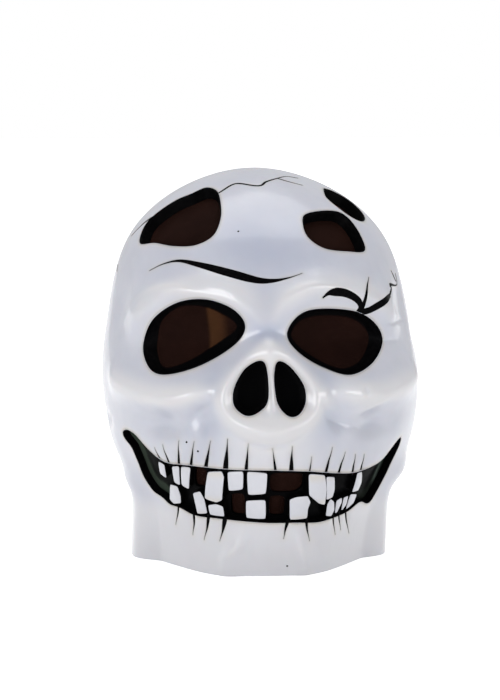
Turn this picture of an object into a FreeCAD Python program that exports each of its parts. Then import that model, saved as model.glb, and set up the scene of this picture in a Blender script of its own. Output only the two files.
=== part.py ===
"""Latex Halloween mask: an overhead skull mask with see-through mesh and a back closure.

Millimetres. +Z is up, the face looks along -Y and the neck rim stands on Z = 0.
The head form is a stack of rounded rings. Its face is raised and hollowed by smooth
bumps and ridges, whose places are an azimuth in degrees from the middle of the face
(positive towards +X) and a height above the rim.
"""
import FreeCAD, Part
import math
import os
import sys

Vector = FreeCAD.Vector
doc = FreeCAD.newDocument("latex_skull_mask")

# ---------------------------------------------------------------- driving dimensions

SIZES = [
    # alias, value in millimetres or degrees, meaning
    ("mask_width", 204.9, "width over the cheekbones"),
    ("mask_depth", 230.1, "nose to the back of the head"),
    ("mask_height", 252.0, "neck rim to crown"),
    ("skin_thickness", 2.5, "latex wall"),
    ("flange_overlap", 1.2, "depth in the wall at which a turned-in edge starts"),
    ("flange_depth", 7.0, "how far the edge of an opening turns inwards"),
    ("flange_width", 2.4, "width of a turned-in edge outside its opening"),
    ("opening_inset", 1.6, "step from the painted edge to the clear opening"),
    ("recess_depth", 5.0, "depth of the mouth floor behind the teeth"),
    ("glue_gap", 0.05, "film of glue between bonded pieces"),
    ("mesh_thickness", 0.6, "see-through mesh panel"),
    ("pad_thickness", 6.0, "foam pad"),
    ("slit_width", 3.0, "slit in the back of the neck"),
    ("slit_height", 104.0, "top of the slit above the rim"),
    ("slit_end_radius", 3.2, "round end that stops the slit from tearing"),
    ("flap_thickness", 1.5, "latex flap behind the slit"),
    ("flap_left", 26.0, "edge of the flap, left of the slit"),
    ("flap_right", 14.0, "edge of the flap, right of the slit"),
    ("flap_rise", 3.0, "bottom of the flap above the rim"),
    ("patch_radius", 13.0, "reinforcement behind the slit's round end"),
    ("patch_thickness", 1.4, "reinforcement thickness"),
    ("strap_width", 22.0, "closure strap, measured up the slit"),
    ("strap_thickness", 2.0, "closure strap"),
    ("strap_left", 30.0, "end of the folded anchor, left of the slit"),
    ("strap_right", 36.0, "free end of the strap, right of the slit"),
    ("hinge_offset", 8.85, "bend line of the strap, left of the slit"),
    ("hinge_gap", 0.3, "gap at the bend line"),
    ("hook_thickness", 0.8, "hook pad"),
    ("loop_thickness", 1.0, "loop pad"),
    ("pad_inset", 1.5, "hook and loop pads inside the strap's edge"),
    ("closing_gap", 0.2, "gap between the closed hook and loop pads"),
    ("lower_strap_height", 25.0, "middle of the lower strap"),
    ("upper_strap_height", 72.0, "middle of the upper strap"),
    ("rivet_azimuth", -166.0, "rivets, degrees from the middle of the face"),
    ("rivet_spacing", 11.0, "between the two rivets of a strap"),
    ("rivet_head_radius", 3.6, "rivet head"),
    ("rivet_head_height", 1.2, "rivet head"),
    ("rivet_shank_radius", 1.5, "rivet shank"),
    ("rivet_hole_radius", 1.6, "hole for the shank"),
]

sheet = doc.addObject("Spreadsheet::Sheet", "sizes")
for row, (alias, value, meaning) in enumerate(SIZES, start=1):
    sheet.set(f"A{row}", meaning)
    sheet.set(f"B{row}", str(value))
    sheet.setAlias(f"B{row}", alias)
doc.recompute()


def size(alias):
    """Value of a cell of the sheet."""
    return float(getattr(sheet, alias))


# ---------------------------------------------------------------- head form

# One row for each ring of the form, from the rim to the crown: height, half width,
# depth in front of the ring's middle, depth behind it, squareness of the front (2 is an
# ellipse), distance of the flat chin face, middle along Y, lean along X.
RINGS = [
    (0.0, 84.0, 123.0, 71.0, 1.05, 79.5, 2.0, -0.6),
    (25.0, 83.5, 98.0, 84.0, 1.20, 84.0, -7.3, -0.2),
    (50.0, 84.0, 98.0, 92.0, 1.50, 98.0, -7.3, 0.4),
    (75.0, 98.0, 97.0, 104.0, 1.90, 120.0, -7.3, 0.6),
    (100.0, 102.0, 98.0, 114.0, 2.05, 130.0, -7.3, 0.5),
    (127.0, 103.5, 98.0, 120.0, 2.10, 130.0, -6.3, -0.3),
    (155.0, 98.0, 98.0, 121.0, 2.15, 130.0, -4.3, -1.2),
    (184.0, 93.5, 95.0, 115.0, 2.15, 130.0, -1.3, -1.6),
    (212.0, 83.5, 86.0, 100.0, 2.10, 120.0, 1.7, -1.8),
    (235.5, 58.5, 61.0, 71.0, 2.00, 90.0, 4.7, -2.0),
    (249.3, 27.0, 32.0, 35.0, 2.00, 45.0, 5.7, -2.6),
    (253.3, 0.0, 0.0, 0.0, 2.00, 0.0, 5.7, -3.0),
]
# A column that passes through zero at the crown changes sign beyond it; the others repeat.
HEIGHT, HALF_WIDTH, FRONT, BACK, SQUARENESS, FLAT, MIDDLE, LEAN = range(8)
CHANGES_SIGN = (HALF_WIDTH, FRONT, BACK, FLAT)
BACK_SQUARENESS = 2.15
CROWN_HEIGHT = 251.9    # the relief fades out below the crown
CROWN_FADE = 14.0
FRONT_BLEND = 0.45
FLAT_BLEND = 12.0
FORM_SIZE = Vector(204.9, 230.1, 252.0)   # the size that the tables below give
SCALE = Vector(size("mask_width") / FORM_SIZE.x,
               size("mask_depth") / FORM_SIZE.y,
               size("mask_height") / FORM_SIZE.z)

# Smooth bumps: azimuth, height, half width, half height, rise, and whether the other
# side of the face has one too.
BUMPS = [
    (0, 168, 20, 14, 3.0, False),    # between the brows
    (27, 153, 27, 17, -9.0, True),   # eye socket
    (0, 90, 44, 24, 5.0, False),     # upper jaw
    (0, 96, 16, 10, 2.0, False),     # middle of the upper jaw
    (26, 104, 9, 11, -3.0, True),    # beside the nose
    (42, 98, 16, 9, -6.0, True),     # hollow under the cheekbone
    (0, 54, 60, 24, 3.0, False),     # tooth rows
    (0, 18, 22, 18, 2.0, False),     # chin
    (84, 58, 16, 11, 5.0, False),    # corner of the jaw
    (-84, 52, 16, 8, 2.0, False),    # corner of the jaw
    (-82, 92, 10, 5, -3.0, False),   # notch under the cheekbone
    (88, 143, 14, 9, -3.0, False),   # notch above the cheekbone
    (68, 168, 16, 24, -3.0, True),   # temple
    (18, 210, 24, 18, 2.0, True),    # forehead
    (66, 66, 14, 14, -2.0, True),    # jaw behind the grin
]
# Smooth ridges: points of azimuth and height, half width, rise, and whether mirrored.
RIDGES = [
    ([(-54, 158), (-44, 174), (-28, 184), (-14, 183), (-4, 174)], 11.0, 6.0, True),  # brow
    ([(0, 158), (0, 138)], 8.0, 5.0, False),                                         # nose bridge
    ([(0, 138), (0, 108)], 4.0, 3.0, False),                                         # nose septum
    ([(0, 146), (-8, 141), (-15, 128), (-17, 114), (-12, 103), (0, 99)], 7.0, 5.0, True),  # nose rim
    ([(-22, 122), (-34, 117), (-50, 118), (-68, 124)], 11.0, 7.0, True),             # cheekbone
    ([(-18, 0), (-15, 16), (-12, 28)], 7.0, 3.5, True),                              # chin edge
]


def ring_value(column, up):
    """Uniform cubic B-spline through the rings, from 0 at the rim to 1 at the crown."""
    values = [ring[column] for ring in RINGS]
    before = 2 * values[0] - values[1]
    after = -values[-2] if column in CHANGES_SIGN else values[-2]
    values = [before] + values + [after]
    spans = len(RINGS) - 1
    place = min(max(up * spans, 0.0), spans - 1e-9)
    first = int(place)
    f = place - first
    weights = ((1 - f) ** 3, 3 * f ** 3 - 6 * f ** 2 + 4, -3 * f ** 3 + 3 * f ** 2 + 3 * f + 1, f ** 3)
    return sum(w * v for w, v in zip(weights, values[first:first + 4])) / 6


def smooth_step(value):
    """Rises smoothly from 0 to 1."""
    value = min(max(value, 0.0), 1.0)
    return value * value * (3 - 2 * value)


def form_point(turn, up):
    """Point of the smooth form, where turn is the azimuth in radians."""
    ring = [ring_value(column, up) for column in range(8)]
    if up >= 1:
        return Vector(ring[LEAN], ring[MIDDLE], ring[HEIGHT])
    sideways, forwards = math.sin(turn), math.cos(turn)
    blend = smooth_step(forwards / FRONT_BLEND)
    power = BACK_SQUARENESS + (ring[SQUARENESS] - BACK_SQUARENESS) * blend
    depth = ring[FRONT] if forwards > 0 else ring[BACK]
    radius = ((abs(sideways) / ring[HALF_WIDTH]) ** power + (abs(forwards) / depth) ** power) ** (-1 / power)
    if forwards > 1e-6:
        radius = (radius ** -FLAT_BLEND + (ring[FLAT] / forwards) ** -FLAT_BLEND) ** (-1 / FLAT_BLEND)
    return Vector(radius * sideways + ring[LEAN], ring[MIDDLE] - radius * forwards, ring[HEIGHT])


def form_normal(turn, up, step=1e-3):
    """Outward normal of the smooth form."""
    if up >= 1:
        return Vector(0, 0, 1)
    across = form_point(turn + step, up) - form_point(turn - step, up)
    upwards = form_point(turn, min(up + step, 1)) - form_point(turn, max(up - step, 0))
    return across.cross(upwards).normalize()


def ring_at(height):
    """Place between rim and crown, from 0 to 1, of a height on the form."""
    low, high = 0.0, 1.0
    for _ in range(40):
        middle = (low + high) / 2
        if ring_value(HEIGHT, middle) < height:
            low = middle
        else:
            high = middle
    return low


def form_at(azimuth, height):
    """Point of the smooth form at an azimuth in degrees and a height."""
    return form_point(math.radians(azimuth), ring_at(height))


def ridge_samples(points, width):
    """Places along a ridge, each with the length that it stands for."""
    path = [form_at(*point) for point in points]
    path = [path[0] * 2 - path[1]] + path + [path[-1] * 2 - path[-2]]
    samples = []
    for a, b, c, d in zip(path, path[1:], path[2:], path[3:]):
        length = (c - b).Length
        count = max(2, math.ceil(length / (width / 2)))
        for index in range(count):
            u = (index + 0.5) / count
            place = b * 2 + (c - a) * u + (a * 2 - b * 5 + c * 4 - d) * u ** 2 + (b * 3 - a - c * 3 + d) * u ** 3
            samples.append((place * 0.5, length / count))
    return samples


def mirrored(points):
    """The same ridge on the other side of the face."""
    return [(-azimuth, height) for azimuth, height in points]


BUMP_LIST = []
for azimuth, height, wide, tall, rise, both in BUMPS:
    for side in ((azimuth, -azimuth) if both else (azimuth,)):
        centre = form_at(side, height)
        BUMP_LIST.append((math.radians(side), math.hypot(centre.x, centre.y), height, wide, tall, rise))
RIDGE_LIST = []
for points, width, rise, both in RIDGES:
    for side in ((points, mirrored(points)) if both else (points,)):
        for place, length in ridge_samples(side, width):
            RIDGE_LIST.append((place, width, rise * length / (width * math.sqrt(math.pi))))


def relief(turn, place):
    """How far the face stands out of the smooth form at a point of it."""
    total = 0.0
    for centre, radius, height, wide, tall, rise in BUMP_LIST:
        sideways = (turn - centre + math.pi) % (2 * math.pi) - math.pi
        total += rise * math.exp(-(sideways * radius / wide) ** 2 - ((place.z - height) / tall) ** 2)
    for centre, width, rise in RIDGE_LIST:
        distance = (place - centre).Length
        if distance < 3 * width:
            total += rise * math.exp(-(distance / width) ** 2)
    return total * smooth_step((CROWN_HEIGHT - place.z) / CROWN_FADE)


def skin_point(turn, up, depth=0.0):
    """Point at a depth under the mask's outer surface."""
    place = form_point(turn, up)
    place = place + form_normal(turn, up) * (relief(turn, place) - depth)
    return Vector(place.x * SCALE.x, place.y * SCALE.y, place.z * SCALE.z)


def skin_at(azimuth, height, depth=0.0):
    """Point at a depth under the outer surface, by azimuth in degrees and height."""
    return skin_point(math.radians(azimuth), ring_at(height), depth)


# ---------------------------------------------------------------- control net of the surfaces

FACE_EDGE = 78          # azimuth up to which the net is fine
FACE_STEP = 2.6
BACK_STEP = 7.8
SEAM = 130              # azimuth of the surfaces' seam, clear of every opening
RING_COUNT = 56
BELOW_RIM = (-8.0, -4.0)


def net_azimuths():
    """Azimuths of the control net, once round from the seam."""
    azimuths = []
    azimuth = SEAM - 360.0
    while azimuth < SEAM - BACK_STEP / 2:
        azimuths.append(azimuth)
        azimuth += FACE_STEP if -FACE_EDGE <= azimuth < FACE_EDGE else BACK_STEP
    return azimuths


AZIMUTHS = net_azimuths()
NET = []
for azimuth in AZIMUTHS:
    turn = math.radians(azimuth)
    column = []
    for index in range(RING_COUNT + 1):
        up = index / RING_COUNT
        place = form_point(turn, up)
        column.append((place, form_normal(turn, up), relief(turn, place)))
    NET.append(column)
SOLIDS = {}


def solid_at(depth):
    """Closed solid bounded by the surface at a depth under the outer skin."""
    if depth in SOLIDS:
        return SOLIDS[depth]
    poles = []
    for column in NET:
        points = [place + normal * (rise - depth) for place, normal, rise in column]
        points = [Vector(p.x * SCALE.x, p.y * SCALE.y, p.z * SCALE.z) for p in points]
        rim = points[0]
        poles.append([Vector(rim.x, rim.y, z) for z in BELOW_RIM] + points)
    around, along = len(poles), len(poles[0])
    surface = Part.BSplineSurface()
    surface.buildFromPolesMultsKnots(
        poles, [1] * (around + 1), [4] + [1] * (along - 4) + [4],
        list(range(around + 1)), list(range(along - 2)), True, False, 3, 3)
    wall = surface.toShape()
    low_edges = [edge for edge in wall.Edges if abs(edge.BoundBox.ZMax - BELOW_RIM[0]) < 1e-3]
    base = Part.Face(Part.Wire(low_edges))
    solid = Part.makeSolid(Part.makeShell([wall, base]))
    if not solid.isValid():
        base.reverse()
        solid = Part.makeSolid(Part.makeShell([wall, base]))
    if not solid.isValid():
        raise RuntimeError(f"surface at depth {depth} makes no solid")
    SOLIDS[depth] = solid
    return solid


def layer(tool, outer_depth, inner_depth):
    """The part of a tool that lies between two depths."""
    return tool.common(solid_at(outer_depth)).cut(solid_at(inner_depth))


# ---------------------------------------------------------------- outlines, as azimuth and height

LEFT_EYE = [(-49, 146), (-44, 162), (-34, 173), (-23, 176), (-13, 171), (-8.5, 161),
            (-13, 149.5), (-26.5, 136), (-39, 130), (-46, 134)]
RIGHT_EYE = [(7, 156), (11.5, 167), (20, 170.5), (34, 168), (43, 160), (47, 148),
             (41, 136), (30, 130), (20, 135.5), (11, 145)]
LEFT_NOSTRIL = [(-3, 140), (-1.2, 133), (-1.2, 117), (-4, 110), (-8.5, 107.5),
                (-12.5, 113), (-12.5, 123), (-8.5, 135)]
RIGHT_NOSTRIL = [(3, 139.5), (7, 136), (11.5, 125), (12, 115), (9.5, 108), (6, 107),
                 (2.8, 113.5), (1.8, 123), (1.8, 133)]
LEFT_CROWN = [(-46, 241), (-31, 238.5), (-22.5, 228), (-22, 215), (-29, 208.5), (-40, 207.5),
              (-52, 208.5), (-63, 207), (-68, 213), (-70, 221), (-63, 232), (-54, 237)]
RIGHT_CROWN = [(22, 225.5), (34, 227.5), (45, 226.5), (49, 222), (48.5, 211), (46, 203.5),
               (36, 204), (25, 206), (19, 212), (18.5, 219.5)]
UPPER_RIGHT_CROWN = [(63, 239.5), (72, 236.5), (76, 231), (70, 223), (60, 220), (52, 224),
                     (48, 233), (52, 237)]
MOUTH = [(-66, 88), (-62, 90.5), (-57, 88.5), (-51.5, 80), (-44, 72), (-32, 73.3), (-16, 73),
         (0, 73), (14, 71.5), (26, 68), (36, 66), (45, 67.5), (52.5, 70), (58, 79.5), (63, 84.5),
         (67, 72), (67.5, 60), (66, 49), (63, 40), (58.5, 39.5), (50, 44), (42, 38.5),
         (32, 37), (22, 35.8), (10, 38.7), (-4, 39.7), (-20, 40), (-35, 38.5), (-43.5, 42.5),
         (-51, 42.5), (-55, 47), (-62, 49), (-66, 58), (-64.5, 69), (-62.5, 78), (-66.5, 84)]
UPPER_TEETH = [
    [(-47.5, 72), (-44.9, 70.5), (-46.5, 61.5), (-49.2, 63.8)],
    [(-40.5, 70.2), (-37, 71.2), (-39.3, 58.4), (-41.9, 59.5)],
    [(-35.7, 71.2), (-31.5, 71.6), (-34.7, 56.7), (-37.9, 58.7)],
    [(-23.7, 70.2), (-18.2, 71.2), (-17.5, 68), (-19, 52.5), (-21.6, 50.6), (-26.8, 52)],
    [(-15.7, 71.2), (-10.1, 72), (-10.3, 61), (-15.5, 59.5)],
    [(-8.5, 72), (-1.6, 71.1), (-2, 58.5), (-8.1, 57.6)],
    [(13.8, 69.6), (20.5, 67.7), (22.3, 58.2), (23.3, 47.6), (20.1, 49.4), (14.8, 56)],
    [(21.6, 66.4), (25.3, 65.4), (26.8, 56.4), (26.6, 52), (23.8, 50.9)],
    [(38.4, 65), (40.8, 65.2), (44, 57.2), (44.2, 52), (40, 52), (39.5, 57.7)],
]
LOWER_TEETH = [
    [(-45.4, 56.9), (-41.4, 56.5), (-41.5, 50.2), (-42.8, 45.1), (-48, 43.5), (-50.1, 45.8)],
    [(-32.7, 53.9), (-28.8, 56), (-27.5, 51), (-27.3, 41.6), (-32.9, 40)],
    [(-25.7, 47.2), (-21.8, 48.8), (-18.9, 47.9), (-18.7, 41.2), (-25.5, 41.1)],
    [(-8.9, 53.2), (-2, 54.2), (-1.8, 41.7), (-9, 41.9)],
    [(7, 53.9), (9.5, 55.1), (14, 55.1), (15.6, 50.8), (14.9, 46.4), (15.4, 40), (8, 40.3)],
    [(26.1, 39.2), (25.2, 47.1), (26.1, 50.3), (28.6, 47.8), (30.5, 41.9), (29.5, 38)],
    [(30.4, 48.1), (33.2, 49.4), (34.2, 46.2), (33.1, 39.8), (32.1, 39.4)],
    [(35, 49), (37.6, 49.6), (38.6, 43.5), (36.6, 40)],
    [(39.4, 50.2), (44.6, 48.8), (44.8, 43.2), (40.2, 40)],
]
MOUTH_WINDOWS = [
    [(-31, 70.5), (-25.2, 71.6), (-27.4, 57.5), (-33.2, 56.4)],
    [(-0.6, 70.8), (12.6, 69.4), (13, 60.8), (10.2, 57), (-0.4, 57.8)],
    [(-16, 55.6), (-10, 56.4), (-10.2, 41), (-16.8, 41.4)],
    [(-0.6, 55.8), (5.8, 55), (6.6, 41), (-0.4, 41.6)],
]
# The strip of mesh glued behind the missing teeth.
MOUTH_PANEL = [(-37, 74), (-10, 75), (17, 73), (18, 38.5), (-10, 38.5), (-39, 39.5)]


# ---------------------------------------------------------------- cutters

def widened(points, distance):
    """Closed flat outline with each point moved outwards, or inwards if negative."""
    after = points[1:] + points[:1]
    before = points[-1:] + points[:-1]
    area = sum(a.x * b.y - b.x * a.y for a, b in zip(points, after)) / 2
    outwards = math.copysign(distance, area)
    moved = []
    for a, point, b in zip(before, points, after):
        along = (b - a).normalize()
        moved.append(point + Vector(along.y, -along.x, 0) * outwards)
    return moved


def cone_cutter(outline, spread=0.0, smooth=True, sides=0, reach=28.0, converge=95.0, depth=62.0):
    """Solid through the wall whose sides lead from an outline towards a point inside the head.

    spread widens the outline, measured on the skin. The ends are flat. sides is the number of
    flat sides that stand in for the smooth curve; 0 leaves the curve smooth."""
    places = [skin_at(*point) for point in outline]
    middle_azimuth = sum(point[0] for point in outline) / len(outline)
    middle_height = sum(point[1] for point in outline) / len(outline)
    centre = skin_at(middle_azimuth, middle_height)
    normal = form_normal(math.radians(middle_azimuth), ring_at(middle_height))
    apex = centre - normal * converge
    plane_turn = FreeCAD.Rotation(Vector(0, 0, 1), normal)
    wires = []
    for distance in (converge + reach, converge - depth):
        points = []
        for place in places:
            ray = place - apex
            points.append(apex + ray * (distance / ray.dot(normal)))
        flat = [plane_turn.inverted().multVec(point - apex) for point in points]
        flat = widened(flat, spread * distance / converge)
        if smooth:
            curve = Part.BSplineCurve()
            curve.interpolate(Points=flat, PeriodicFlag=True)
            wire = Part.Wire([curve.toShape()])
            if sides:
                flat = curve.toShape().discretize(sides + 1)[:-1]
        if sides or not smooth:
            wire = Part.makePolygon(flat + [flat[0]])
        wire.Placement = FreeCAD.Placement(apex, plane_turn).multiply(wire.Placement)
        wires.append(wire)
    return Part.makeLoft(wires, True, True)


def mouth_cutter(outline, spread=0.0):
    """Cutter with straight sides for the wide mouth."""
    return cone_cutter(outline, spread, smooth=False, converge=115.0)


def block(x_low, x_high, z_low, z_high, corner=0.0, y_low=40.0, y_high=140.0):
    """Box behind the head with round corners as seen from behind."""
    tool = Part.makeBox(x_high - x_low, y_high - y_low, z_high - z_low, Vector(x_low, y_low, z_low))
    if corner:
        edges = [edge for edge in tool.Edges if abs(edge.tangentAt(edge.FirstParameter).y) > 0.99]
        tool = tool.makeFillet(corner, edges)
    return tool


def rounded_tool(azimuth, height, wide, tall, corner, inwards=40.0, outwards=25.0):
    """Box along the normal of the form, with round corners, for a pad glued inside."""
    centre = skin_at(azimuth, height)
    normal = form_normal(math.radians(azimuth), ring_at(height))
    sideways = Vector(0, 0, 1).cross(normal).normalize()
    upwards = normal.cross(sideways)
    tool = Part.makeBox(wide, tall, inwards + outwards, Vector(-wide / 2, -tall / 2, -inwards))
    edges = [edge for edge in tool.Edges if abs(edge.tangentAt(edge.FirstParameter).z) > 0.99]
    tool = tool.makeFillet(corner, edges)
    matrix = FreeCAD.Matrix(sideways.x, upwards.x, normal.x, centre.x,
                            sideways.y, upwards.y, normal.y, centre.y,
                            sideways.z, upwards.z, normal.z, centre.z,
                            0, 0, 0, 1)
    tool.Placement = FreeCAD.Placement(matrix)
    return tool


def wall_point(azimuth, height):
    """Point where the line square to the form meets the skin's outer surface."""
    place = skin_at(azimuth, height)
    normal = form_normal(math.radians(azimuth), ring_at(height))
    inside = Part.makeLine(place + normal * 10, place - normal * 10).common(solid_at(0.0))
    return max((vertex.Point for vertex in inside.Vertexes), key=normal.dot)


def add_shape(label, shape):
    """A feature that holds a finished shape."""
    feature = doc.addObject("Part::Feature", label)
    feature.Label = label
    feature.Shape = shape
    return feature


# ---------------------------------------------------------------- latex skin

skin_depth = size("skin_thickness")
flange_depth = size("flange_depth")
flange_width = size("flange_width")
inset = size("opening_inset")
OPENINGS = {
    "left_eye": LEFT_EYE,
    "right_eye": RIGHT_EYE,
    "left_nostril": LEFT_NOSTRIL,
    "right_nostril": RIGHT_NOSTRIL,
    "left_crown": LEFT_CROWN,
    "right_crown": RIGHT_CROWN,
    "upper_right_crown": UPPER_RIGHT_CROWN,
}
NOSE = [(0, 146), (8, 138), (15, 124), (15.5, 112), (10, 103.5), (0, 102.5), (-10, 103.5),
        (-15.5, 112), (-15, 124), (-8, 138)]


def cast_wall():
    """The whole latex casting, before the slit and the rivet holes are cut."""
    shape = solid_at(0).cut(solid_at(skin_depth))
    edges = [cone_cutter(OPENINGS[name], flange_width)
             for name in OPENINGS if not name.endswith("nostril")]
    edges += [cone_cutter(NOSE), mouth_cutter(MOUTH, flange_width)]
    shape = shape.fuse([layer(edge, size("flange_overlap"), flange_depth) for edge in edges])
    mouth = mouth_cutter(MOUTH).cut(solid_at(size("recess_depth")))
    shape = shape.cut(mouth.cut([mouth_cutter(tooth) for tooth in UPPER_TEETH + LOWER_TEETH]))
    clear = [cone_cutter(outline, -inset) for outline in OPENINGS.values()]
    clear += [mouth_cutter(window) for window in MOUTH_WINDOWS]
    shape = shape.cut(clear)
    below = Part.makeBox(400, 400, 40, Vector(-200, -200, -40))
    return shape.cut(below)


def primitive(kind, label, sizes, place, turn=FreeCAD.Rotation()):
    """A Part primitive with its sizes bound to cells of the sheet, or plain lengths."""
    item = doc.addObject(kind, label)
    item.Label = label
    for prop, value in sizes.items():
        if isinstance(value, str):
            item.setExpression(prop, value)
        else:
            setattr(item, prop, value)
    item.Placement = FreeCAD.Placement(place, turn)
    return item


def combine(kind, label, items):
    """A boolean or compound of features already in the document."""
    result = doc.addObject(kind, label)
    result.Label = label
    if kind == "Part::Cut":
        result.Base, result.Tool = items
    elif kind == "Part::Compound":
        result.Links = items
    else:
        result.Shapes = items
    return result


TOOL_REACH = 100.0
BEHIND = 40.0           # the tools for the back start here along Y
towards_back = FreeCAD.Rotation(Vector(1, 0, 0), -90)
slit = primitive("Part::Box", "slit_tool",
                 {"Length": "sizes.slit_width", "Width": TOOL_REACH, "Height": "sizes.slit_height + 10"},
                 Vector(-size("slit_width") / 2, BEHIND, -10))
slit_end = primitive("Part::Cylinder", "slit_end_tool",
                     {"Radius": "sizes.slit_end_radius", "Height": TOOL_REACH},
                     Vector(0, BEHIND, size("slit_height")), towards_back)

# ---------------------------------------------------------------- back closure, its rivets first

STRAPS = {"lower": size("lower_strap_height"), "upper": size("upper_strap_height")}
glue = size("glue_gap")
loop_outside = glue + size("loop_thickness")
hook_inside = loop_outside + size("closing_gap")
hook_outside = hook_inside + size("hook_thickness")
strap_inside = hook_outside + glue
strap_outside = strap_inside + size("strap_thickness")
flap_inside = skin_depth + glue + size("flap_thickness")
TAIL_HEIGHT = 1.0
HEAD_GAP = 0.15         # the curved surfaces stand this far off the flat rivet faces

rivet_groups = {}
hole_tools = {}
for name, height in STRAPS.items():
    rivets = []
    holes = []
    for number, side in enumerate((-0.5, 0.5), start=1):
        rivet_height = height + side * size("rivet_spacing")
        turn = math.radians(size("rivet_azimuth"))
        normal = form_normal(turn, ring_at(rivet_height))
        surface = wall_point(size("rivet_azimuth"), rivet_height)
        aim = FreeCAD.Rotation(Vector(0, 0, 1), normal)
        inner_end = surface - normal * (flap_inside + HEAD_GAP)
        outer_end = surface + normal * (strap_outside + HEAD_GAP)
        label = f"{name}_rivet_{number}"
        rivets.append(combine("Part::MultiFuse", label, [
            primitive("Part::Cylinder", label + "_shank",
                      {"Radius": "sizes.rivet_shank_radius", "Height": (outer_end - inner_end).Length},
                      inner_end, aim),
            primitive("Part::Cylinder", label + "_head",
                      {"Radius": "sizes.rivet_head_radius", "Height": "sizes.rivet_head_height"},
                      outer_end, aim),
            primitive("Part::Cylinder", label + "_tail",
                      {"Radius": "sizes.rivet_head_radius", "Height": TAIL_HEIGHT},
                      inner_end - normal * TAIL_HEIGHT, aim),
        ]))
        holes.append(primitive("Part::Cylinder", label + "_hole",
                               {"Radius": "sizes.rivet_hole_radius", "Height": 30.0},
                               surface - normal * 15, aim))
    rivet_groups[name] = combine("Part::Compound", f"{name}_strap_rivets", rivets)
    hole_tools[name] = combine("Part::MultiFuse", f"{name}_rivet_holes", holes)

all_holes = combine("Part::MultiFuse", "rivet_holes", list(hole_tools.values()))
openings = combine("Part::MultiFuse", "back_openings", [slit, slit_end, all_holes])
nodes = [combine("Part::Cut", "latex_skin", [add_shape("cast_wall", cast_wall()), openings])]

hinge_left = -size("hinge_offset") - size("hinge_gap") / 2
hinge_right = -size("hinge_offset") + size("hinge_gap") / 2
half_strap = size("strap_width") / 2
pad_edge = size("pad_inset")
PAD_START = 9.0         # hook and loop pads start this far right of the slit
for name, height in STRAPS.items():
    low, high = height - half_strap, height + half_strap
    anchor = layer(block(-size("strap_left"), hinge_left, low, high), -strap_outside, -glue)
    tab = layer(block(hinge_right, size("strap_right"), low, high), -strap_outside, -strap_inside)
    hook = layer(block(PAD_START + pad_edge, size("strap_right") - pad_edge, low + pad_edge, high - pad_edge),
                 -hook_outside, -hook_inside)
    loop = layer(block(PAD_START, size("strap_right"), low, high), -loop_outside, -glue)
    blank = add_shape(f"{name}_strap_anchor_blank", anchor)
    nodes += [
        combine("Part::Cut", f"{name}_strap_anchor", [blank, hole_tools[name]]),
        add_shape(f"{name}_strap_tab", tab),
        add_shape(f"{name}_hook_pad", hook),
        add_shape(f"{name}_loop_pad", loop),
        rivet_groups[name],
    ]

# ---------------------------------------------------------------- latex pieces behind the slit

patch_radius = size("patch_radius")
flap_top = size("slit_height") - patch_radius - 1
flap = block(-size("flap_left"), size("flap_right"), size("flap_rise"), flap_top, corner=4.0)
flap_blank = add_shape("slit_flap_blank", layer(flap, skin_depth + glue, flap_inside))
nodes.append(combine("Part::Cut", "slit_backing_flap", [flap_blank, all_holes]))
patch = Part.makeCylinder(patch_radius, TOOL_REACH, Vector(0, BEHIND, size("slit_height")), Vector(0, 1, 0))
nodes.append(add_shape("slit_stop_patch",
                       layer(patch, skin_depth + glue, skin_depth + glue + size("patch_thickness"))))

# ---------------------------------------------------------------- mesh panels behind the openings

mesh_outside = flange_depth + glue
mesh_inside = mesh_outside + size("mesh_thickness")
panel_overlap = flange_width - 0.8
PANEL_SIDES = 36
PANELS = {
    "left_eye_mesh": cone_cutter(LEFT_EYE, panel_overlap, sides=PANEL_SIDES),
    "right_eye_mesh": cone_cutter(RIGHT_EYE, panel_overlap, sides=PANEL_SIDES),
    "nose_mesh": cone_cutter(NOSE, -1.0, sides=PANEL_SIDES),
    "mouth_mesh": mouth_cutter(MOUTH_PANEL),
    "left_crown_mesh": cone_cutter(LEFT_CROWN, panel_overlap, sides=PANEL_SIDES),
    "right_crown_mesh": cone_cutter(RIGHT_CROWN, panel_overlap, sides=PANEL_SIDES),
    "upper_right_crown_mesh": cone_cutter(UPPER_RIGHT_CROWN, panel_overlap, sides=PANEL_SIDES),
}
NOSE_SEAM = 125.0       # height at which the nose panel is furthest inside the head


def parted(shape, height):
    """The same solid with its faces parted by a seam at a height."""
    below = Part.makeBox(600, 600, 300 + height, Vector(-300, -300, -300))
    return shape.common(below).fuse(shape.cut(below))


for name, cutter in PANELS.items():
    panel = layer(cutter, mesh_outside, mesh_inside)
    if name == "nose_mesh":
        panel = parted(panel, NOSE_SEAM)
    nodes.append(add_shape(name, panel))

# ---------------------------------------------------------------- foam pads inside

# azimuth, height, width, length, corner radius
PADS = {
    "forehead_pad": (0, 197, 44, 24, 8),
    "crown_pad": (180, 246, 56, 44, 10),
    "left_temple_pad": (-100, 150, 44, 54, 10),
    "right_temple_pad": (100, 150, 44, 54, 10),
}
for name, (azimuth, height, wide, tall, corner) in PADS.items():
    tool = rounded_tool(azimuth, height, wide, tall, corner)
    pad_outside = skin_depth + glue
    nodes.append(add_shape(name, layer(tool, pad_outside, pad_outside + size("pad_thickness"))))

# ---------------------------------------------------------------- checks and files

doc.recompute()
for item in doc.Objects:
    if {"Invalid", "Error"} & set(item.State):
        sys.exit(f"{item.Label} failed: {item.State}")
for node in nodes:
    shape = node.Shape
    if shape.isNull() or not shape.isValid() or not shape.Solids:
        sys.exit(f"{node.Label} has no valid solid")
    print(f"{node.Label}: {len(shape.Solids)} solid, {shape.Volume / 1000:.2f} cm3")
os.makedirs("parts", exist_ok=True)
for node in nodes:
    node.Shape.exportStep(f"parts/{node.Label}.step")
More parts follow.
